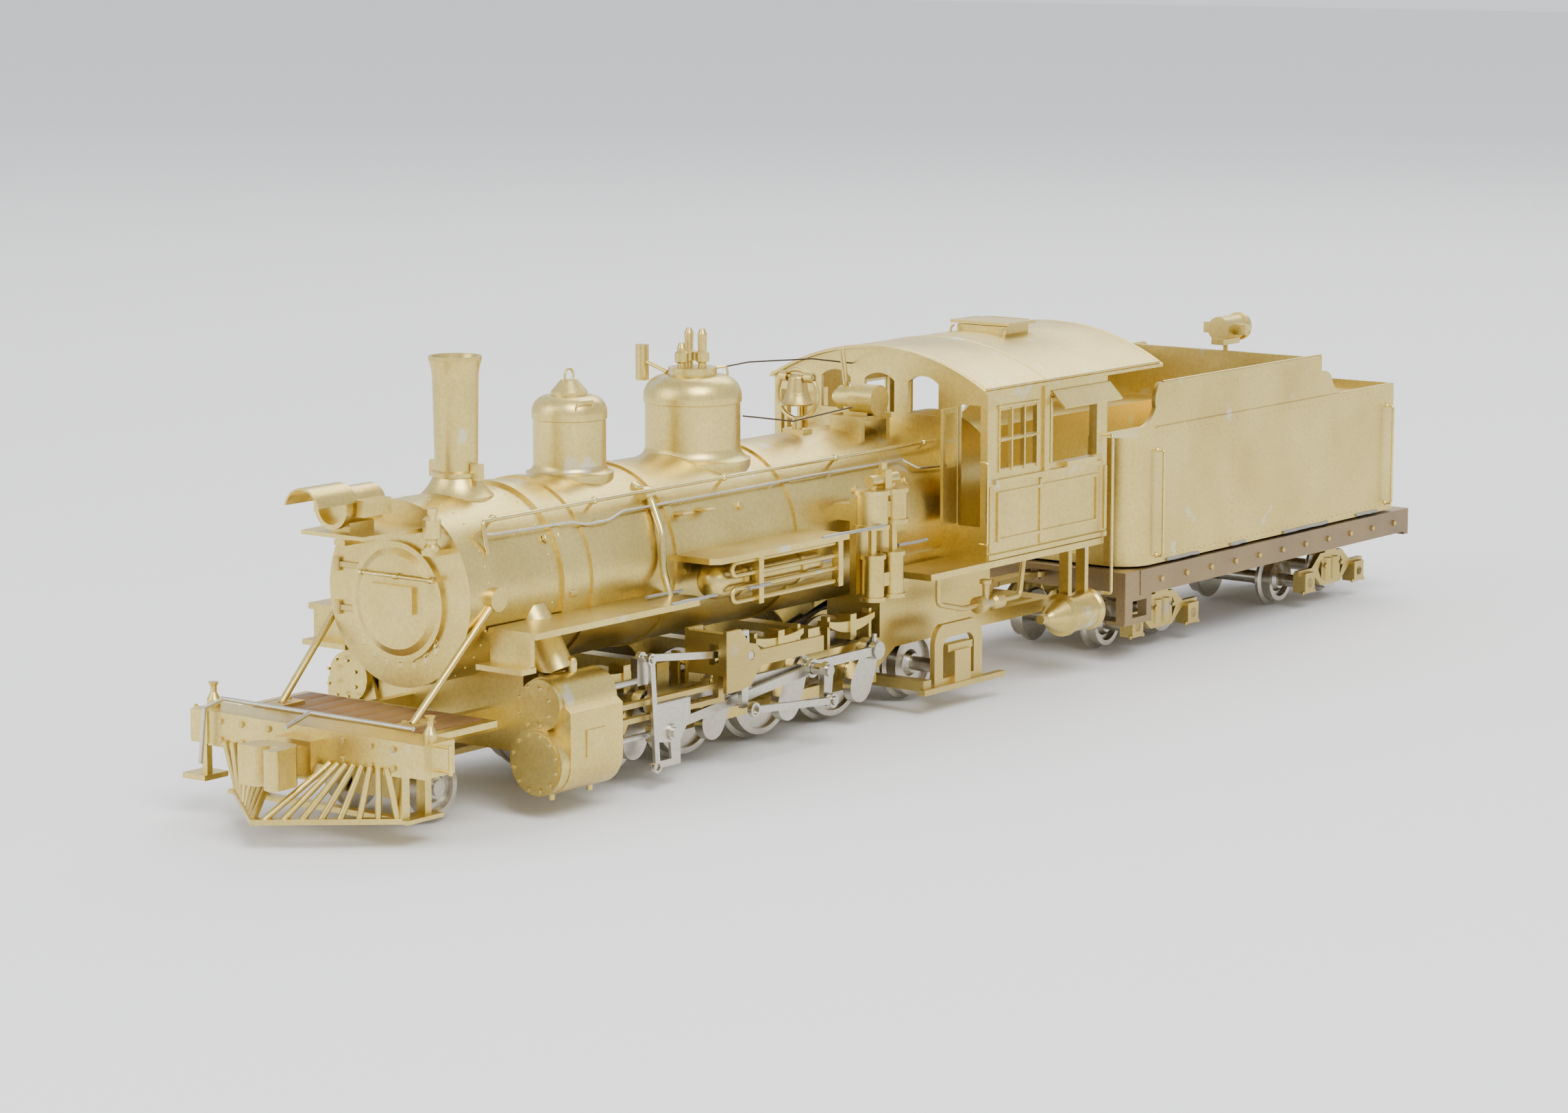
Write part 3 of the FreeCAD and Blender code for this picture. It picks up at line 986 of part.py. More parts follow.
def truck_side(x):
    """Arch-bar side frame with journal boxes and a spring nest."""
    base_half = D.truck_base / 2
    back, front = x - base_half, x + base_half
    z = D.tender_flange
    top = plate("xz", [[(back - 2.0, 4.6), (back + 1.8, 4.6), (x - 2.6, 2.6), (x + 2.6, 2.6), (front - 1.8, 4.6),
                        (front + 2.0, 4.6), (front + 2.0, 5.4), (front - 1.6, 5.4), (x + 3.0, 7.2),
                        (x - 3.0, 7.2), (back + 1.6, 5.4), (back - 2.0, 5.4)],
                       [(back + 3.4, 4.95), (x - 2.6, 3.5), (x - 2.6, 6.4)],
                       [(front - 3.4, 4.95), (x + 2.6, 6.4), (x + 2.6, 3.5)]], 10.2, 10.9)
    boxes = [box((c - 1.3, c + 1.3), (9.6, 11.6), (2.2, 5.0)) for c in (back, front)]
    springs = [rod(0.8, (x + s, 10.6, 3.2), 3.2, "z") for s in (-1.0, 1.0)]
    holes = [rod(fit, (c, 8.0, z), 2.6, "y") for c in (back, front)]
    return cut(fuse(top, *boxes, *springs), *holes)


def tender_truck(x):
    side = truck_side(x)
    bolster = box((x - 1.5, x + 1.5), (-10.4, 10.4), (6.6, 7.4))
    ends = [box((x - 1.6, x + 1.6), (s * 10.4 - 0.5, s * 10.4 + 0.5), (6.4, 8.0)) for s in (-1, 1)]
    plate_up = rod(2.2, (x, 0, 7.2), 2.95, "z")
    pin = rod(D.pivot_rad, (x, 0, 8.4), 2.8, "z")
    return fuse(side, mirror(side), bolster, *ends, plate_up, pin)


node("tender_truck_front", tender_truck(D.truck1_x))
node("tender_truck_rear", tender_truck(D.truck2_x))
for i, (truck, way) in enumerate(((D.truck1_x, 1), (D.truck1_x, -1), (D.truck2_x, 1), (D.truck2_x, -1))):
    node("tender_wheels_%d" % (i + 1),
         small_wheelset(truck + way * D.truck_base / 2, D.tender_flange, D.tender_tread, 10.4))

knuckle = [box((-110.2, -105.6), (-0.9, 0.9), (6.9, 8.0)), rod(1.1, (-105.6, 0, 6.9), 1.1, "z"),
           plate("xy", [[(-109.6, -1.3), (-109.6, 1.4), (-111.4, 1.6), (-112.0, 0.7), (-111.2, 0.2),
                         (-110.9, -0.6), (-111.9, -1.4), (-111.4, -2.2, 1.4)]], 6.2, 8.3)]
node("rear_coupler", cut(fuse(*knuckle), rod(0.45, (-105.6, 0, 6), 3, "z")))


# ---------------------------------------------------------------- check and export
doc.recompute()
bad = [o.Name for o in doc.Objects if "Invalid" in o.State or "Error" in o.State]
if bad:
    raise RuntimeError("failed objects: %s" % ", ".join(bad))
os.makedirs("parts", exist_ok=True)
for label, thing in NODES.items():
    shape = thing.Shape
    if shape.isNull() or not shape.isValid() or not shape.Solids:
        raise RuntimeError("bad shape in " + label)
for label, thing in NODES.items():
    thing.Shape.exportStep("parts/%s.step" % label)
    b = thing.Shape.BoundBox
    print("%-26s %d solids  x %.1f %.1f  y %.1f %.1f  z %.1f %.1f" % (
        label, len(thing.Shape.Solids), b.XMin, b.XMax, b.YMin, b.YMax, b.ZMin, b.ZMax))
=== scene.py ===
import bpy
import bmesh
import json
import math
import random
from mathutils import Vector, Matrix


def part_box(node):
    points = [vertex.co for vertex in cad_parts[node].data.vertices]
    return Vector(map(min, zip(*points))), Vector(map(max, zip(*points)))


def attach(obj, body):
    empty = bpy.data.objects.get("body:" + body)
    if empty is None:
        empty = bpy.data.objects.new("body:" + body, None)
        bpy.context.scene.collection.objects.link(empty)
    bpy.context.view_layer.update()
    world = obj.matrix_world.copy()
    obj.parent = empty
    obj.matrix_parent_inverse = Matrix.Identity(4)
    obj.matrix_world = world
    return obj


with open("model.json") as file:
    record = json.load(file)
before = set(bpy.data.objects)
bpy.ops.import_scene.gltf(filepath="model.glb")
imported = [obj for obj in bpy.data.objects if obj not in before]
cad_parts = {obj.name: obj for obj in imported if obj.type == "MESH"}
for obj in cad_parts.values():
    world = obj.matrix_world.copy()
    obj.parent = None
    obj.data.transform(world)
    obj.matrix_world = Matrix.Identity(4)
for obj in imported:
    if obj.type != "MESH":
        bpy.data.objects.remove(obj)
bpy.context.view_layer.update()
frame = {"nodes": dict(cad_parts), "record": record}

random.seed(7)
MM = 0.001

# ---------------------------------------------------------------- main places, from the frame
TOP = {name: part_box(name) for name in frame["nodes"]}


def low(node, axis):
    return TOP[node][0]["xyz".index(axis)] / MM


def high(node, axis):
    return TOP[node][1]["xyz".index(axis)] / MM


SMOKE_BACK = low("smokebox", "x")
BOILER_Z = (low("smokebox_front", "z") + high("smokebox_front", "z")) / 2
SMOKE_R = (high("smokebox_front", "z") - low("smokebox_front", "z")) / 2
BOILER_R = SMOKE_R + 0.2
CAB_SIDE = 16.4
DECK_Z = 11.8
BEAM_FRONT = 103.4
TANK_HALF = high("tender_tank", "y")
TANK_BACK = low("tender_tank", "x")
TANK_LOW = low("tender_tank", "z")
FRONT_FACE = high("smokebox", "x")
DOOR_FACE = high("smokebox_front", "x") - 1.4
BOILER_BANDS = (72.0, 52.0, 36.0)
CYL_FRONT = high("cylinders", "x")
WHEEL_Z = high("tender_wheels_1", "z") / 2
ROOF_BACK, ROOF_FRONT = low("cab_roof", "x"), high("cab_roof", "x")
ROOF_TOP = 43.7
ROOF_R = (16.6 ** 2 + 4.6 ** 2) / (2 * 4.6)
HATCH_Z = high("roof_hatch", "z")


# ---------------------------------------------------------------- materials
def material(name, colour, metallic, roughness, spots=None, grain=400.0, bump=0.15, patch=0.25,
             coat=0.0, deep=None):
    """Procedural finish: slow tarnish patches, fine grain in colour and gloss, and a little bump."""
    made = bpy.data.materials.new(name)
    made.use_nodes = True
    nodes, links = made.node_tree.nodes, made.node_tree.links
    shader = nodes["Principled BSDF"]
    shader.inputs["Metallic"].default_value = metallic
    shader.inputs["Coat Weight"].default_value = coat
    place = nodes.new("ShaderNodeTexCoord")
    slow = nodes.new("ShaderNodeTexNoise")
    slow.inputs["Scale"].default_value = 90.0
    slow.inputs["Detail"].default_value = 6.0
    fine = nodes.new("ShaderNodeTexNoise")
    fine.inputs["Scale"].default_value = grain * 6
    fine.inputs["Detail"].default_value = 4.0
    for texture in (slow, fine):
        links.new(place.outputs["Object"], texture.inputs["Vector"])
    ramp = nodes.new("ShaderNodeValToRGB")
    ramp.color_ramp.elements[0].position = 0.5 - patch
    ramp.color_ramp.elements[1].position = 0.5 + patch
    ramp.color_ramp.elements[0].color = (*(deep or [c * 0.72 for c in colour]), 1)
    ramp.color_ramp.elements[1].color = (*colour, 1)
    links.new(slow.outputs["Fac"], ramp.inputs["Fac"])
    blend = nodes.new("ShaderNodeMix")
    blend.data_type = "RGBA"
    blend.blend_type = "MULTIPLY"
    blend.inputs["Factor"].default_value = 0.35
    links.new(ramp.outputs["Color"], blend.inputs["A"])
    speck = nodes.new("ShaderNodeValToRGB")
    speck.color_ramp.elements[0].position = 0.3
    speck.color_ramp.elements[0].color = (0.6, 0.55, 0.5, 1)
    speck.color_ramp.elements[1].position = 0.62
    links.new(fine.outputs["Fac"], speck.inputs["Fac"])
    links.new(speck.outputs["Color"], blend.inputs["B"])
    colour_out = blend.outputs["Result"]
    if spots:
        solder = nodes.new("ShaderNodeTexNoise")
        solder.inputs["Scale"].default_value = 210.0
        solder.inputs["Detail"].default_value = 3.0
        links.new(place.outputs["Object"], solder.inputs["Vector"])
        cut = nodes.new("ShaderNodeValToRGB")
        cut.color_ramp.elements[0].position = 0.66
        cut.color_ramp.elements[1].position = 0.72
        links.new(solder.outputs["Fac"], cut.inputs["Fac"])
        stain = nodes.new("ShaderNodeMix")
        stain.data_type = "RGBA"
        links.new(cut.outputs["Color"], stain.inputs["Factor"])
        links.new(colour_out, stain.inputs["A"])
        stain.inputs["B"].default_value = (*spots, 1)
        colour_out = stain.outputs["Result"]
    links.new(colour_out, shader.inputs["Base Color"])
    gloss = nodes.new("ShaderNodeMapRange")
    gloss.inputs["To Min"].default_value = max(0.05, roughness - 0.1)
    gloss.inputs["To Max"].default_value = roughness + 0.14
    links.new(slow.outputs["Fac"], gloss.inputs["Value"])
    links.new(gloss.outputs["Result"], shader.inputs["Roughness"])
    dent = nodes.new("ShaderNodeBump")
    dent.inputs["Strength"].default_value = bump
    dent.inputs["Distance"].default_value = 0.00008
    links.new(fine.outputs["Fac"], dent.inputs["Height"])
    links.new(dent.outputs["Normal"], shader.inputs["Normal"])
    return made


LOOK = {
    "brass": material("sheet_brass", (0.80, 0.66, 0.24), 1.0, 0.32, spots=(0.66, 0.6, 0.4),
                      deep=(0.60, 0.45, 0.13)),
    "cast_brass": material("cast_brass", (0.72, 0.57, 0.2), 1.0, 0.38, spots=(0.5, 0.42, 0.26), grain=900,
                           bump=0.45, deep=(0.5, 0.37, 0.12)),
    "nickel_silver": material("nickel_silver", (0.72, 0.68, 0.58), 1.0, 0.3, bump=0.1),
    "wheel_metal": material("wheel_metal", (0.66, 0.62, 0.53), 1.0, 0.26, bump=0.08),
    "motor_steel": material("motor_steel", (0.2, 0.2, 0.21), 1.0, 0.45),
    "bright": material("bright_brass", (0.88, 0.73, 0.3), 1.0, 0.24, bump=0.08),
    "solder": material("solder_grey", (0.52, 0.5, 0.46), 0.9, 0.5, grain=900, bump=0.6),
    "stain": material("stained_deck", (0.34, 0.19, 0.07), 0.6, 0.5, deep=(0.16, 0.08, 0.03), bump=0.4),
    "dark_wire": material("dark_wire", (0.12, 0.09, 0.06), 0.9, 0.5),
    "tarnish": material("tarnished_brass", (0.42, 0.31, 0.16), 1.0, 0.45, deep=(0.24, 0.18, 0.11), grain=700,
                        bump=0.35),
}

special = {"tender_frame": "tarnish", "pilot_beam": "brass", "trailing_truck": "cast_brass"}
for entry in frame["record"]["subparts"]:
    mesh = frame["nodes"][entry["node"]].data
    mesh.materials.clear()
    mesh.materials.append(LOOK[special.get(entry["node"], entry["material_slot"])])


# ---------------------------------------------------------------- mesh tools
class Piece:
    """One visible piece, gathered from small forms, all lengths in millimetres."""

    def __init__(self, name, body, look):
        self.name, self.body, self.look = name, body, look
        self.mesh = bmesh.new()

    def skin(self, rings):
        """Bridge a list of equal rings of points into a closed skin."""
        rows = [[self.mesh.verts.new(Vector(p) * MM) for p in ring] for ring in rings]
        count = len(rows[0])
        for a, b in zip(rows, rows[1:]):
            for i in range(count):
                j = (i + 1) % count
                self.mesh.faces.new((a[i], a[j], b[j], b[i]))
        self.mesh.faces.new(list(reversed(rows[0])))
        self.mesh.faces.new(rows[-1])
        return self

    def tube(self, points, radius, sides=10, bend=True):
        """Round wire through the points, eased round its corners."""
        line = [Vector(p) for p in points]
        if bend and len(line) > 2:
            line = eased(line, radius * 2.2)
        rings = []
        way = (line[1] - line[0]).normalized()
        across = way.orthogonal().normalized()
        for i, point in enumerate(line):
            ahead = line[min(i + 1, len(line) - 1)] - line[max(i - 1, 0)]
            ahead.normalize()
            across = (across - ahead * across.dot(ahead)).normalized()
            other = ahead.cross(across)
            rings.append([point + across * (math.cos(a) * radius) + other * (math.sin(a) * radius)
                          for a in (math.tau * k / sides for k in range(sides))])
        return self.skin(rings)

    def lathe(self, outline, centre, axis="z", sides=24):
        """Spin (height, radius) pairs round an axis through centre."""
        rings = []
        for height, radius in outline:
            ring = []
            for k in range(sides):
                a = math.tau * k / sides
                c, s = math.cos(a) * radius, math.sin(a) * radius
                local = {"z": (c, s, height), "x": (height, c, s), "y": (s, height, c)}[axis]
                ring.append(Vector(centre) + Vector(local))
            rings.append(ring)
        return self.skin(rings)

    def block(self, x, y, z, edge=0.06):
        """A bar with softened edges between (low, high) pairs."""
        (x0, x1), (y0, y1), (z0, z1) = x, y, z
        e = min(edge, (x1 - x0) / 4, (y1 - y0) / 4, (z1 - z0) / 4)
        rings = []
        for height, shrink in ((z0, e), (z0 + e, 0), (z1 - e, 0), (z1, e)):
            around = corners(x0 + shrink, x1 - shrink, y0 + shrink, y1 - shrink, e)
            rings.append([(px, py, height) for px, py in around])
        return self.skin(rings)

    def rivet(self, point, out, radius=0.16, height=0.12):
        """A domed head lying on a surface."""
        out = Vector(out).normalized()
        across = out.orthogonal().normalized()
        other = out.cross(across)
        base = Vector(point) - out * 0.02
        rings = []
        for rise, width in ((0, 1.0), (0.55, 0.86), (1.0, 0.35)):
            rings.append([base + out * (rise * height) + (across * math.cos(a) + other * math.sin(a))
                          * (radius * width) for a in (math.tau * k / 8 for k in range(8))])
        return self.skin(rings)

    def hexagon(self, point, out, radius=0.3, height=0.25):
        """A six-sided bolt head standing on a surface."""
        out = Vector(out).normalized()
        across = out.orthogonal().normalized()
        other = out.cross(across)
        rings = []
        for rise, width in ((-0.05, 1.0), (height * 0.8, 1.0), (height, 0.8)):
            rings.append([Vector(point) + out * rise + (across * math.cos(a) + other * math.sin(a))
                          * (radius * width) for a in (math.tau * k / 6 for k in range(6))])
        return self.skin(rings)

    def done(self):
        bmesh.ops.remove_doubles(self.mesh, verts=self.mesh.verts, dist=1e-8)
        bmesh.ops.recalc_face_normals(self.mesh, faces=self.mesh.faces)
        mesh = bpy.data.meshes.new(self.name)
        self.mesh.to_mesh(mesh)
        self.mesh.free()
        for face in mesh.polygons:
            face.use_smooth = True
        mesh.set_sharp_from_angle(angle=math.radians(38))
        mesh.materials.append(LOOK[self.look])
        thing = bpy.data.objects.new(self.name, mesh)
        bpy.context.scene.collection.objects.link(thing)
        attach(thing, self.body)
        return thing


def corners(x0, x1, y0, y1, e):
    """Eight points round a rectangle with clipped corners."""
    return [(x0 + e, y0), (x1 - e, y0), (x1, y0 + e), (x1, y1 - e), (x1 - e, y1), (x0 + e, y1),
            (x0, y1 - e), (x0, y0 + e)]


def eased(line, reach):
    """Round a polyline's corners with short curves."""
    smooth = [line[0]]
    for before, corner, after in zip(line, line[1:], line[2:]):
        near = min(reach, (corner - before).length / 2.1, (after - corner).length / 2.1)
        a = corner + (before - corner).normalized() * near
        b = corner + (after - corner).normalized() * near
        for k in range(6):
            t = k / 5
            smooth.append(a * (1 - t) ** 2 + corner * (2 * t * (1 - t)) + b * t * t)
    smooth.append(line[-1])
    return smooth


def on_barrel(x, angle, out=0.0, radius=None):
    """A point on the boiler's skin, the angle measured from straight up towards the left side."""
    a = math.radians(angle)
    size = (radius or (SMOKE_R if x > SMOKE_BACK else BOILER_R)) + out
    return Vector((x, math.sin(a) * size, BOILER_Z + math.cos(a) * size))


def both(make):
    """Make a set of pieces for the left side and again for the right."""
    for side, word in ((1, "left"), (-1, "right")):
        make(side, word)


RAIL_R = 11.8
PIPE_R = 11.0
RAIL_ANGLE = 45


# ---------------------------------------------------------------- boiler rails and pipes
def boiler_side(side, word):
    rail = Piece("handrail_" + word, "engine", "bright")
    rail.tube([on_barrel(84.4, 64 * side, 0, 10.4), on_barrel(84.4, 46 * side, 0, RAIL_R)]
              + [on_barrel(x, RAIL_ANGLE * side, 0, RAIL_R) for x in (60, 30, 0.1)], 0.24)
    for x in (82.6, 65.5, 42.2, 20.6, 2.4):
        rail.tube([on_barrel(x, RAIL_ANGLE * side, 0, size) for size in (10.3, 11.55)], 0.2, 8)
        knob = on_barrel(x, RAIL_ANGLE * side, 0, RAIL_R)
        rail.lathe([(-0.42, 0.1), (-0.32, 0.3), (-0.12, 0.42), (0.12, 0.42), (0.32, 0.3), (0.42, 0.1)],
                   knob, "x", 14)
    rail.done()
    pipe = Piece("feed_pipe_" + word, "engine", "nickel_silver")
    run = ((82.8, 53), (70, 54), (68, 57), (64, 57), (61, 53), (20, 52), (7.4, 52))
    pipe.tube([on_barrel(84.0, 50 * side, 0, 10.5)]
              + [on_barrel(x, angle * side, 0, PIPE_R) for x, angle in run], 0.17)
    for x in (79, 66, 50.5, 34, 22.5, 12):
        pipe.tube([on_barrel(x, 54 * side, 0, 10.3), on_barrel(x, 54 * side, 0, 11.1)], 0.12, 6)
    pipe.tube([on_barrel(7.4, 52 * side, 0, PIPE_R), on_barrel(5.4, 60 * side, 0, 11.2),
               on_barrel(0.3, 62 * side, 0, 11.4)], 0.17)
    pipe.done()
    drop = Piece("injector_pipe_" + word, "engine", "bright")
    drop.tube([on_barrel(55.4, 36 * side, 0, 10.4), on_barrel(55.6, 48 * side, 0, 11.2),
               on_barrel(56.4, 70 * side, 0, 11.3), on_barrel(57.0, 92 * side, 0, 11.3),
               (57.2, 12.2 * side, 21.6), (57.2, 12.6 * side, 20.2)], 0.42, 12)
    drop.lathe([(-0.8, 0.5), (-0.8, 0.75), (-0.3, 0.85), (0.3, 0.85), (0.8, 0.75), (0.8, 0.5)],
               on_barrel(55.5, 44 * side, 0, 11.0), "x", 16)
    outward = on_barrel(0, 36 * side, 0, 1) - Vector((0, 0, BOILER_Z))
    drop.hexagon(on_barrel(55.5, 36 * side, 0, 10.45), outward, 0.75, 0.5)
    drop.done()
    nuts = Piece("boiler_fittings_" + word, "engine", "cast_brass")
    for x, angle in ((74.6, 60), (72.4, 60), (40.5, 62), (18.2, 66), (13.0, 66), (8.0, 66)):
        outward = (0, side * math.sin(math.radians(angle)), math.cos(math.radians(angle)))
        nuts.hexagon(on_barrel(x, angle * side, 0, 10.45), outward, 0.55, 0.4)
    for x in (47.6, 51.8):
        foot = on_barrel(x, 58 * side, 0, 10.4)
        width = tuple(sorted((foot.y - 0.2, foot.y + 2.0 * side)))
        nuts.block((x - 0.9, x + 0.9), width, (foot.z - 0.25, foot.z + 0.05))
    nuts.done()
    seam = Piece("solder_line_" + word, "engine", "solder")
    for x, half in ((58.0, 3.2), (45.0, 2.0), (30.0, 4.0), (10.0, 3.0)):
        points = [(x - half + k * half / 4, side * (12.2 + 0.15 * random.random()),
                   21.2 + 0.12 * random.random()) for k in range(9)]
        seam.tube(points, 0.22, 8)
    seam.done()


both(boiler_side)

bands = Piece("barrel_bands", "engine", "cast_brass")
for x in BOILER_BANDS:
    for side in (1, -1):
        bands.lathe([(-0.55, 0.25), (-0.55, 0.42), (0.55, 0.42), (0.55, 0.25)],
                    on_barrel(x, 96 * side, 0.1), "x", 10)
bands.done()

# ---------------------------------------------------------------- smokebox
rim = Piece("smokebox_rivets", "engine", "brass")
for k in range(36):
    a = math.tau * k / 36
    rim.rivet(on_barrel(85.4, math.degrees(a), 0.0, 10.3), (0, math.sin(a), math.cos(a)), 0.17)
    rim.rivet(on_barrel(74.9, math.degrees(a), 0.0, 10.3), (0, math.sin(a), math.cos(a)), 0.17)
rim.done()
front = Piece("front_bolts", "engine", "bright")
for k in range(26):
    a = math.tau * k / 26
    front.hexagon((FRONT_FACE, math.sin(a) * 9.25, BOILER_Z + math.cos(a) * 9.25), (1, 0, 0), 0.3, 0.3)
for k in range(-3, 4):
    a = math.pi + k * 0.26
    y, z = math.sin(a) * 7.5, BOILER_Z + math.cos(a) * 7.5
    front.block((FRONT_FACE, FRONT_FACE + 0.55), (y - 0.3, y + 0.3), (z - 0.85, z + 0.75))
    front.hexagon((FRONT_FACE + 0.5, y, z + 0.2), (1, 0, 0), 0.3, 0.25)
front.done()
face = Piece("door_hinges", "engine", "cast_brass")
for z in (26.6, 21.8):
    face.block((DOOR_FACE, DOOR_FACE + 0.4), (-9.0, -2.6), (z - 0.35, z + 0.35))
    face.lathe([(z - 0.75, 0.45), (z + 0.75, 0.45)], (DOOR_FACE + 0.3, -8.9, 0), "z", 12)
face.block((DOOR_FACE, DOOR_FACE + 0.25), (-3.3, 2.6), (22.2, 25.3))
for y, z in ((-2.9, 22.6), (2.2, 22.6), (-2.9, 24.9), (2.2, 24.9)):
    face.rivet((DOOR_FACE + 0.25, y, z), (1, 0, 0), 0.18)
face.done()
grab = Piece("door_handrail", "engine", "bright")
grab.tube([(DOOR_FACE + 1.2, -4.8, 26.2), (DOOR_FACE + 1.2, 5.9, 26.2)], 0.2, 10)
for y in (-4.6, 0.6, 5.7):
    grab.tube([(DOOR_FACE - 0.4, y, 26.2), (DOOR_FACE + 1.2, y, 26.2)], 0.17, 8)
    grab.lathe([(y - 0.35, 0.12), (y - 0.25, 0.34), (y + 0.25, 0.34), (y + 0.35, 0.12)],
               (DOOR_FACE + 1.2, 0, 26.2), "y", 12)
grab.done()

# ---------------------------------------------------------------- domes and whistle line
dome = Piece("dome_fittings", "engine", "bright")
dome.tube([(36.0, 1.0, 43.2), (35.9, 1.2, 44.1), (34.0, 2.4, 44.2), (33.9, 2.5, 43.2)], 0.15, 8)
dome.tube([(62.4, 3.1, 41.6), (62.6, 3.6, 42.8), (60.6, 4.2, 42.8), (60.4, 3.7, 41.6)], 0.15, 8)
dome.done()
wire = Piece("whistle_line", "engine", "dark_wire")
wire.tube([(36.2, -5.4, 42.0), (30.0, -5.5, 42.6), (20.0, -5.2, 43.0), (8.0, -4.6, 42.4),
           (0.3, -4.2, 41.2)], 0.1, 8)
wire.tube([(33.2, 4.2, 38.4), (24.0, 4.6, 36.9), (12.0, 4.4, 37.4)], 0.1, 8)
wire.done()

# ---------------------------------------------------------------- cab
def cab_side(side, word):
    wall = CAB_SIDE * side
    out = (0, side, 0)

    def slab(piece, x, z, low_y, high_y):
        piece.block(x, tuple(sorted((wall + low_y * side, wall + high_y * side))), z)

    trim = Piece("cab_trim_" + word, "engine", "brass")
    for x in (-0.4, -11.5, -26.2):
        slab(trim, (x - 0.25, x + 0.25), (19.0, 27.2), -0.05, 0.22)
    slab(trim, (-26.4, 0.1), (18.1, 18.8), -0.05, 0.3)
    slab(trim, (-24.5, -13.3), (36.5, 37.1), -0.05, 0.32)
    slab(trim, (-24.5, -23.9), (28.8, 36.6), -0.05, 0.28)
    slab(trim, (-13.8, -13.3), (28.8, 36.6), -0.05, 0.28)
    for x in (-2.25, -5.0, -7.75, -10.5):
        slab(trim, (x - 0.12, x + 0.12), (28.8, 37.0), -0.05, 0.2)
    slab(trim, (-10.9, -1.9), (32.75, 33.0), -0.05, 0.2)
    slab(trim, (-10.9, -1.9), (36.7, 37.1), -0.05, 0.3)
    trim.done()
    dots = Piece("cab_rivets_" + word, "engine", "brass")
    for k in range(26):
        dots.rivet((-25.8 + k * 1.01, wall + 0.28 * side, 18.45), out, 0.14)
    for k in range(10):
        dots.rivet((-26.2, wall + 0.2 * side, 19.4 + k * 0.8), out, 0.12)
        dots.rivet((-0.4, wall + 0.2 * side, 19.4 + k * 0.8), out, 0.12)
    dots.done()
    shade = Piece("window_awning_" + word, "engine", "brass")
    rings = []
    for x in (-26.9, -26.7, -13.9, -13.7):
        rings.append([(x, wall + 0.2 * side, 37.9), (x, wall + 2.1 * side, 35.95),
                      (x, wall + 2.1 * side, 35.75), (x, wall - 0.05 * side, 37.6)])
    shade.skin(rings)
    shade.done()
    gutter = Piece("roof_gutter_" + word, "engine", "brass")
    gutter.tube([(ROOF_BACK + 0.6, 16.45 * side, 39.35), (ROOF_FRONT - 0.4, 16.45 * side, 39.35)], 0.16, 8)
    gutter.done()
    rail = Piece("cab_grab_" + word, "engine", "bright")
    rail.tube([(-26.3, wall - 0.1 * side, 31.1), (-26.3, wall + 1.1 * side, 31.1),
               (-26.3, wall + 1.1 * side, 10.7), (-26.3, wall - 0.3 * side, 10.7)], 0.2, 10)
    rail.tube([(0.7, wall - 0.7 * side, 30.4), (0.9, wall + 0.5 * side, 30.4), (0.9, wall + 0.5 * side, 20.2),
               (0.7, wall - 0.7 * side, 20.2)], 0.17, 8)
    rail.done()
    works = Piece("injector_" + word, "engine", "cast_brass")
    works.tube([(8.0, 14.6 * side, 17.0), (8.0, 14.6 * side, 13.6), (3.0, 14.8 * side, 12.4),
                (-9.4, 14.8 * side, 12.4), (-10.2, 14.8 * side, 16.9)], 0.35, 12)
    works.lathe([(-2.4, 0.45), (-2.2, 0.95), (-0.6, 0.95), (-0.2, 0.6), (1.4, 0.6), (1.8, 1.05),
                 (3.0, 1.05), (3.2, 0.45)], (-3.0, 14.8 * side, 12.4), "x", 18)
    works.lathe([(0.0, 0.3), (0.0, 0.4), (2.2, 0.4), (2.3, 0.75), (2.8, 0.75), (2.8, 0.3)],
                (-1.9, 14.8 * side, 12.6), "z", 12)
    works.done()


both(cab_side)

roof = Piece("roof_rods", "engine", "bright")
for y in (-3.9, 3.9):
    roof.tube([(-20.6, y, HATCH_Z - 1.9), (-20.9, y, HATCH_Z - 0.9), (-21.4, y, HATCH_Z - 0.75)], 0.17, 8)
roof.done()
seams = Piece("roof_seams", "engine", "brass")
for x in (ROOF_BACK + 0.7, -13.0, ROOF_FRONT - 0.7):
    line = []
    for k in range(25):
        y = -15.8 + k * 31.6 / 24
        line.append((x, y, ROOF_TOP - (ROOF_R - math.sqrt(ROOF_R ** 2 - y * y)) - 0.04))
    seams.tube(line, 0.13, 6, bend=False)
seams.done()


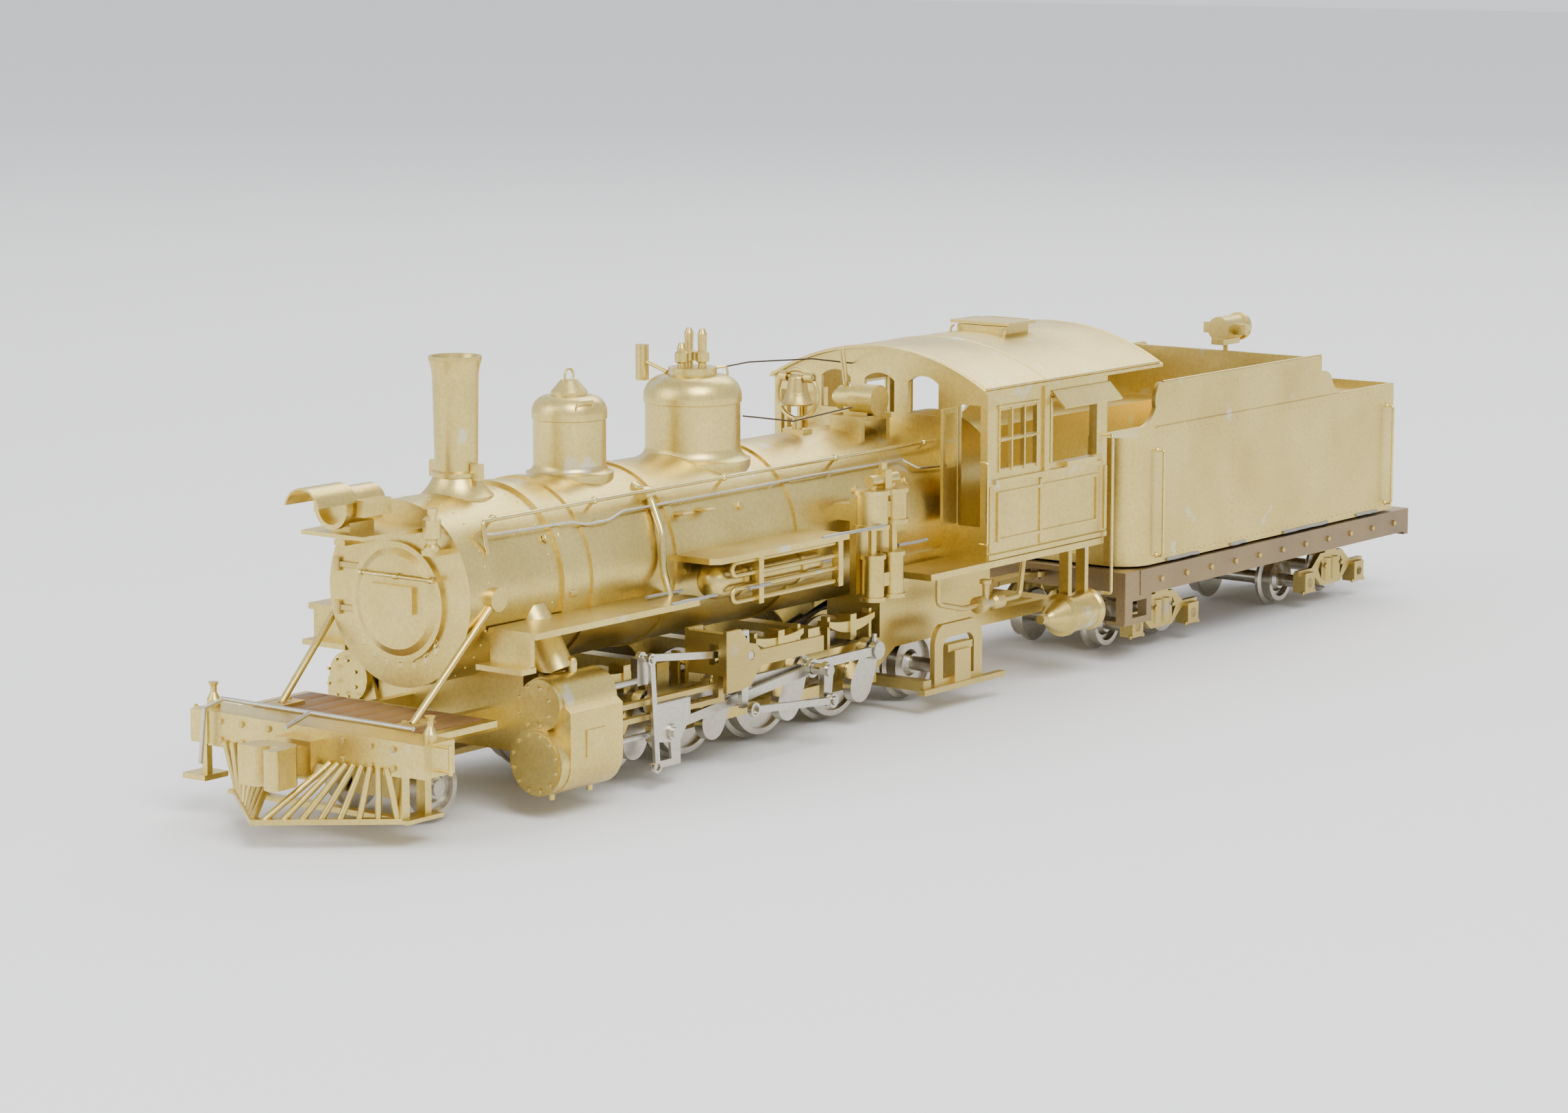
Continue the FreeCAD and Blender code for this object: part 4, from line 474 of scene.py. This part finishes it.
# ---------------------------------------------------------------- tender
def tank_side(side, word):
    wall = TANK_HALF * side
    dots = Piece("tank_rivets_" + word, "tender", "brass")
    for z in (13.3, 29.6):
        for k in range(46):
            dots.rivet((-41.6 - k * 1.35, wall, z), (0, side, 0), 0.14, 0.14)
    for x in (-60.6, -81.0):
        for k in range(12):
            dots.rivet((x, wall, 14.6 + k * 1.22), (0, side, 0), 0.14, 0.14)
    for k in range(24):
        dots.rivet((-44.0 - k * 1.6, wall, 34.8), (0, side, 0), 0.13, 0.12)
    dots.done()
    lines = Piece("tank_beading_" + word, "tender", "brass")
    lines.tube([(-41.2, wall, 30.4), (-84.4, wall, 30.4), (-103.6, wall, 30.4)], 0.17, 8)
    lines.tube([(-42.9, wall * 0.985, 36.15), (-83.6, wall * 0.985, 36.15)], 0.24, 8)
    lines.done()
    bars = Piece("tender_grabs_" + word, "tender", "bright")
    for x in (-41.6, -102.4):
        bars.tube([(x, wall - 0.2 * side, 27.4), (x, wall + 1.0 * side, 27.4), (x, wall + 1.0 * side, 13.5),
                   (x, wall - 0.2 * side, 13.5)], 0.2, 10)
        for z in (27.4, 13.5):
            bars.lathe([(-0.1 * side, 0.4), (0.15 * side, 0.34), (0.28 * side, 0.2)], (x, wall, z), "y", 12)
    bars.done()
    edge = Piece("tank_solder_" + word, "tender", "solder")
    for a, b in ((-44.0, -52.0), (-60.0, -64.0), (-74.0, -86.0), (-94.0, -100.0)):
        edge.tube([(a + (b - a) * k / 8, wall + 0.05 * side, TANK_LOW + 0.15 + 0.12 * random.random())
                   for k in range(9)], 0.24, 8)
    edge.done()
    posts = Piece("deck_bolts_" + word, "tender", "cast_brass")
    for k in range(11):
        posts.hexagon((-42.0 - k * 6.2, 15.2 * side, 10.4), (0, side, 0), 0.4, 0.3)
    posts.done()


both(tank_side)


def truck_fittings(name, place):
    made = Piece(name + "_fittings", name, "cast_brass")
    for side in (1, -1):
        face = (high(name, "y") - 0.3) * side
        for x in (place - 6.9, place + 6.9):
            made.lathe([(-0.2 * side, 1.0), (0.1 * side, 1.0), (0.3 * side, 0.7)], (x, face, WHEEL_Z),
                       "y", 18)
            for dx in (-1.5, 1.5):
                made.hexagon((x + dx, face, WHEEL_Z - 1.3), (0, side, 0), 0.3, 0.25)
        for dx in (-2.2, 2.2):
            made.hexagon((place + dx, face - 0.1 * side, WHEEL_Z + 1.8), (0, side, 0), 0.35, 0.3)
    made.done()


truck_fittings("tender_truck_front", -49.0)
truck_fittings("tender_truck_rear", -93.8)

back = Piece("tender_back_details", "tender", "bright")
for y in (-9.5, 9.5):
    back.tube([(TANK_BACK + 0.1, y, 27.0), (TANK_BACK - 1.0, y, 27.0), (TANK_BACK - 1.0, y, 15.2),
               (TANK_BACK + 0.1, y, 15.2)], 0.18, 8)
for k in range(6):
    z = 14.5 + k * 2.5
    back.tube([(TANK_BACK + 0.1, 3.0, z), (TANK_BACK - 0.9, 3.0, z), (TANK_BACK - 0.9, 8.0, z),
               (TANK_BACK + 0.1, 8.0, z)], 0.16, 8)
back.done()
backs = Piece("tender_back_rivets", "tender", "brass")
for k in range(20):
    for z in (13.3, 29.8):
        backs.rivet((TANK_BACK, -13.3 + k * 1.4, z), (-1, 0, 0), 0.14, 0.14)
backs.done()

# ---------------------------------------------------------------- front deck and beam
deck = Piece("front_deck_plates", "engine", "stain")
for k in range(9):
    y = -12.6 + k * 2.8
    deck.block((89.4, 98.6), (y + 0.06, y + 2.74), (DECK_Z - 0.05, DECK_Z + 0.16), 0.05)
deck.done()
studs = Piece("beam_bolts", "engine", "cast_brass")
for y in (-12.6, -9.4, -5.4, 5.4, 9.4, 12.6):
    for z in (8.9, 10.9):
        studs.hexagon((BEAM_FRONT, y, z), (1, 0, 0), 0.38, 0.3)
for s in (-1, 1):
    studs.block((94.6, 98.4), tuple(sorted((8.4 * s, 10.8 * s))), (DECK_Z, DECK_Z + 0.55))
    studs.hexagon((97.6, 8.9 * s, DECK_Z + 0.5), (0, 0, 1), 0.35, 0.3)
    studs.hexagon((95.2, 10.3 * s, DECK_Z + 0.5), (0, 0, 1), 0.35, 0.3)
studs.done()


# ---------------------------------------------------------------- cylinders and boards
def cylinder_fittings(side, word):
    caps = Piece("cylinder_bolts_" + word, "engine", "bright")
    for radius, height, count, size in ((3.1, 6.2, 12, 0.26), (2.2, 12.4, 8, 0.22)):
        for k in range(count):
            a = math.tau * (k + 0.5) / count
            place = (CYL_FRONT - 0.05, 14.1 * side + math.cos(a) * radius, height + math.sin(a) * radius)
            caps.hexagon(place, (1, 0, 0), size, 0.3)
    caps.done()
    board = Piece("board_solder_" + word, "engine", "solder")
    for a, b, z in ((62.0, 54.0, 21.0), (48.0, 44.0, 21.0), (34.0, 22.0, 25.1)):
        board.tube([(a + (b - a) * k / 7, 16.55 * side, z + 0.1 * random.random()) for k in range(8)], 0.2, 8)
    board.done()


both(cylinder_fittings)


# ---------------------------------------------------------------- floor, lights, camera
def stage():
    floor = bpy.data.meshes.new("floor")
    shape = bmesh.new()
    for x in (-3.0, 3.0):
        for y in (-3.0, 3.0):
            shape.verts.new((x, y, -0.0002))
    shape.verts.ensure_lookup_table()
    shape.faces.new([shape.verts[i] for i in (0, 2, 3, 1)])
    shape.to_mesh(floor)
    shape.free()
    paper = bpy.data.materials.new("pale_floor")
    paper.use_nodes = True
    paper.node_tree.nodes["Principled BSDF"].inputs["Base Color"].default_value = (0.86, 0.86, 0.85, 1)
    paper.node_tree.nodes["Principled BSDF"].inputs["Roughness"].default_value = 0.8
    floor.materials.append(paper)
    ground = bpy.data.objects.new("floor", floor)
    bpy.context.scene.collection.objects.link(ground)
    world = bpy.data.worlds.new("room")
    bpy.context.scene.world = world
    world.use_nodes = True
    world.node_tree.nodes["Background"].inputs["Color"].default_value = (0.93, 0.95, 1.0, 1)
    world.node_tree.nodes["Background"].inputs["Strength"].default_value = 1.1
    for name, place, size, power in (("key", (0.35, 0.55, 0.75), 0.5, 9.0),
                                     ("fill", (0.75, -0.35, 0.4), 0.6, 3.0),
                                     ("back", (-0.6, -0.2, 0.7), 0.6, 4.0)):
        lamp = bpy.data.lights.new(name, "AREA")
        lamp.size = size
        lamp.energy = power
        holder = bpy.data.objects.new(name, lamp)
        holder.location = place
        holder.rotation_euler = (-Vector(place)).to_track_quat("-Z", "Y").to_euler()
        bpy.context.scene.collection.objects.link(holder)


def camera():
    yaw, pitch = -2.490, -0.1561
    lens = bpy.data.cameras.new("camera")
    lens.sensor_width = 36.0
    lens.lens = 95.66
    lens.clip_start = 0.01
    eye = bpy.data.objects.new("camera", lens)
    eye.location = Vector((417.26, 303.18, 98.26)) * MM
    ahead = Vector((math.cos(pitch) * math.cos(yaw), math.cos(pitch) * math.sin(yaw), math.sin(pitch)))
    eye.rotation_euler = ahead.to_track_quat("-Z", "Y").to_euler()
    bpy.context.scene.collection.objects.link(eye)
    bpy.context.scene.camera = eye


stage()
camera()
